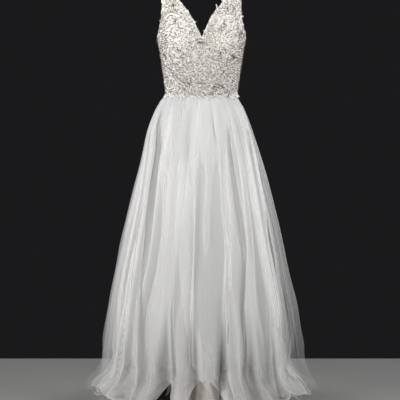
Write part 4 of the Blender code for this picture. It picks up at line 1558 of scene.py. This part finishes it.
class DRESS_OT_beads(bpy.types.Operator):
    """Gold seed beads, pearls, glass tubes and the large grey stones"""

    bl_idname = "dress.beads"
    bl_label = "Beads and Stones"

    def execute(self, context):
        cloth = context.scene.dress_cloth
        gold, tree, shader = cloth_material("pale gold beads", cloth.gold, 0.42)
        shader.inputs["Metallic"].default_value = 0.35
        uneven(tree, shader, cloth.gold, 0.45, 160, (0.36, 0.50), 0.0001)
        pearl_colour = (0.85, 0.82, 0.77)
        pearl, tree, shader = cloth_material("ivory pearls", pearl_colour, 0.18)
        shader.inputs["Coat Weight"].default_value = 0.4
        uneven(tree, shader, pearl_colour, 0.12, 240, (0.14, 0.24), 0.0001)
        stone, tree, shader = cloth_material("smoke grey stones", cloth.crystal, 0.08)
        shader.inputs["Specular IOR Level"].default_value = 0.8
        uneven(tree, shader, cloth.crystal, 0.35, 300, (0.06, 0.12), 0.0001)
        seed, pearl_bead = bead_form(1.9 * MM, 1), bead_form(1.7 * MM, 1)
        tube = bugle_form(5.5 * MM, 0.95 * MM)
        big_stone = stone_form(2.9 * MM)
        seeds, pearls, tubes = self.strewn(LACE["motifs"])
        stones = [Item("stone", spot.degrees, spot.drop, 0.3 * index, 1.0, 1)
                  for index, spot in enumerate(CRYSTALS + BACK_CRYSTALS)]
        picker = random.Random(19)
        for item in stones:
            _, _, _, _, per_degree, per_drop = body_frame(np.array([item.degrees]), np.array([item.drop]))
            for ring, count in ((5.4, 4), (9.6, 4)):
                for number in range(count):
                    angle = 2 * math.pi * (number + picker.uniform(-0.4, 0.4)) / count
                    reach = (ring + picker.uniform(-1.2, 1.2)) * MM
                    seeds.append(Item("seed", item.degrees + reach * math.cos(angle) / per_degree[0],
                                      item.drop + reach * math.sin(angle) / per_drop[0], 0, 0.85, 1))
        for name, form, items, material, lift, smooth in (
                ("gold_beads", seed, seeds, gold, 2.3 * MM, True),
                ("pearls", pearl_bead, pearls, pearl, 2.1 * MM, True),
                ("glass_tubes", tube, tubes, gold, 2.0 * MM, False),
                ("grey_stones", big_stone, stones, stone, 2.6 * MM, False)):
            for panel, chosen in by_panel(items).items():
                if chosen:
                    piece = mesh_piece(f"{name}_{panel}", laid(form, chosen, lift), smooth)
                    dress_piece(piece, material)
        return {"FINISHED"}

    def strewn(self, layout):
        """Beads on and between the motifs."""
        picker = random.Random(29)
        seeds, pearls, tubes = [], [], []
        for item in layout:
            per_degree = math.radians(float(curve(BODICE, "half_width", item.drop)))
            if item.kind == "blossom":
                pearls.append(item._replace(size=1.2))
                for number in range(5):
                    angle = item.turn + 2 * math.pi * number / 6
                    seeds.append(item._replace(degrees=item.degrees + 3.6 * MM * math.cos(angle) / per_degree,
                                               drop=item.drop + 3.6 * MM * math.sin(angle), size=0.85))
            elif item.kind in ("small", "twin"):
                seeds.append(item._replace(size=1.15))
            elif item.kind == "scroll":
                seeds.append(item._replace(size=0.95))
            elif item.kind == "spray":
                for step in (-6, 0, 6):
                    angle = item.turn
                    across = step * MM * math.sin(angle) * item.flip
                    down = -step * MM * math.cos(angle)
                    tubes.append(item._replace(
                        degrees=item.degrees + across / per_degree, drop=item.drop + down, size=0.8))
        places = seeds + pearls
        taken = np.zeros((BEAD_TRIES, 3))
        taken[:len(places)] = body_point([item.degrees for item in places], [item.drop for item in places])
        count = len(places)
        draws = np.random.default_rng(31)
        degrees = draws.uniform(-180, 180, BEAD_TRIES)
        drops = draws.uniform(0.01, 0.42, BEAD_TRIES)
        points = body_point(degrees, drops)
        allowed = on_bodice(np.abs(degrees), drops, np.full(BEAD_TRIES, 2 * MM))
        allowed &= clear_of_arcs(points, 0.0)
        for index in np.flatnonzero(allowed):
            if (np.linalg.norm(taken[:count] - points[index], axis=1) < BEAD_ROOM).any():
                continue
            taken[count] = points[index]
            count += 1
            chosen = picker.random()
            item = Item("bead", degrees[index], drops[index], picker.uniform(0, 3.1),
                        picker.uniform(0.75, 1.15), 1)
            (pearls if chosen < 0.20 else tubes if chosen < 0.28 else seeds).append(item)
        return seeds, pearls, tubes


class DRESS_OT_zip(bpy.types.Operator):
    """Teeth of the back zip, and the finish of its coil, slider and pull tab"""

    bl_idname = "dress.zip"
    bl_label = "Zip"

    def execute(self, context):
        metal = metal_material()
        for node in ("zip_slider", "zip_pull"):
            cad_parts[node].data.materials.clear()
            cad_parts[node].data.materials.append(metal)
        tape = lining_material("ivory zip tape", (0.72, 0.68, 0.62))
        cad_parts["zip_coil"].data.materials.clear()
        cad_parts["zip_coil"].data.materials.append(tape)
        tooth = tooth_form(TOOTH_WIDTH, TOOTH_HIGH)
        low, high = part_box("zip_coil")
        count = int((high.z - low.z) / TOOTH_STEP)
        parts = []
        for number in range(count):
            drop = -high.z + (number + 0.5) * TOOTH_STEP
            side = 1 if number % 2 else -1
            across = 0.35 * TOOTH_WIDTH * side
            place = (across, float(body_point(180.0, drop)[1]) + TOOTH_OUT, -drop)
            parts.append(Form(tooth.points * (side, 1, 1) + place, tooth.triangles[:, ::side]))
        teeth = mesh_piece("zip_teeth", joined(parts))
        dress_piece(teeth, metal)
        return {"FINISHED"}


def tooth_form(width, high):
    """One tooth: a short rounded bar lying across the zip."""
    bpy.ops.object.select_all(action="DESELECT")
    bpy.ops.mesh.primitive_cylinder_add(
        vertices=6, radius=high / 2, depth=width, rotation=(0, math.pi / 2, 0))
    bpy.ops.object.transform_apply(rotation=True)
    return taken_form(bpy.context.object)


class DRESS_PT_panel(bpy.types.Panel):
    """Buttons for each part of the dress"""

    bl_label = "Wedding Dress"
    bl_idname = "DRESS_PT_panel"
    bl_space_type = "VIEW_3D"
    bl_region_type = "UI"
    bl_category = "Wedding Dress"

    def draw(self, context):
        for operator in OPERATORS:
            self.layout.operator(operator.bl_idname)


OPERATORS = (DRESS_OT_stage, DRESS_OT_underskirt, DRESS_OT_tulle, DRESS_OT_ground, DRESS_OT_lace,
             DRESS_OT_beads, DRESS_OT_zip)
CLASSES = (DressSkirt, DressCloth, DressStage, *OPERATORS, DRESS_PT_panel)


def register():
    for cls in CLASSES:
        bpy.utils.register_class(cls)
    bpy.types.Scene.dress_skirt = bpy.props.PointerProperty(type=DressSkirt)
    bpy.types.Scene.dress_cloth = bpy.props.PointerProperty(type=DressCloth)
    bpy.types.Scene.dress_stage = bpy.props.PointerProperty(type=DressStage)


def unregister():
    del bpy.types.Scene.dress_stage
    del bpy.types.Scene.dress_cloth
    del bpy.types.Scene.dress_skirt
    for cls in reversed(CLASSES):
        bpy.utils.unregister_class(cls)


def main():
    register()
    bpy.ops.dress.stage()
    bpy.ops.dress.underskirt()
    bpy.ops.dress.tulle()
    bpy.ops.dress.ground()
    bpy.ops.dress.lace()
    bpy.ops.dress.beads()
    bpy.ops.dress.zip()


if __name__ == "__main__":
    main()
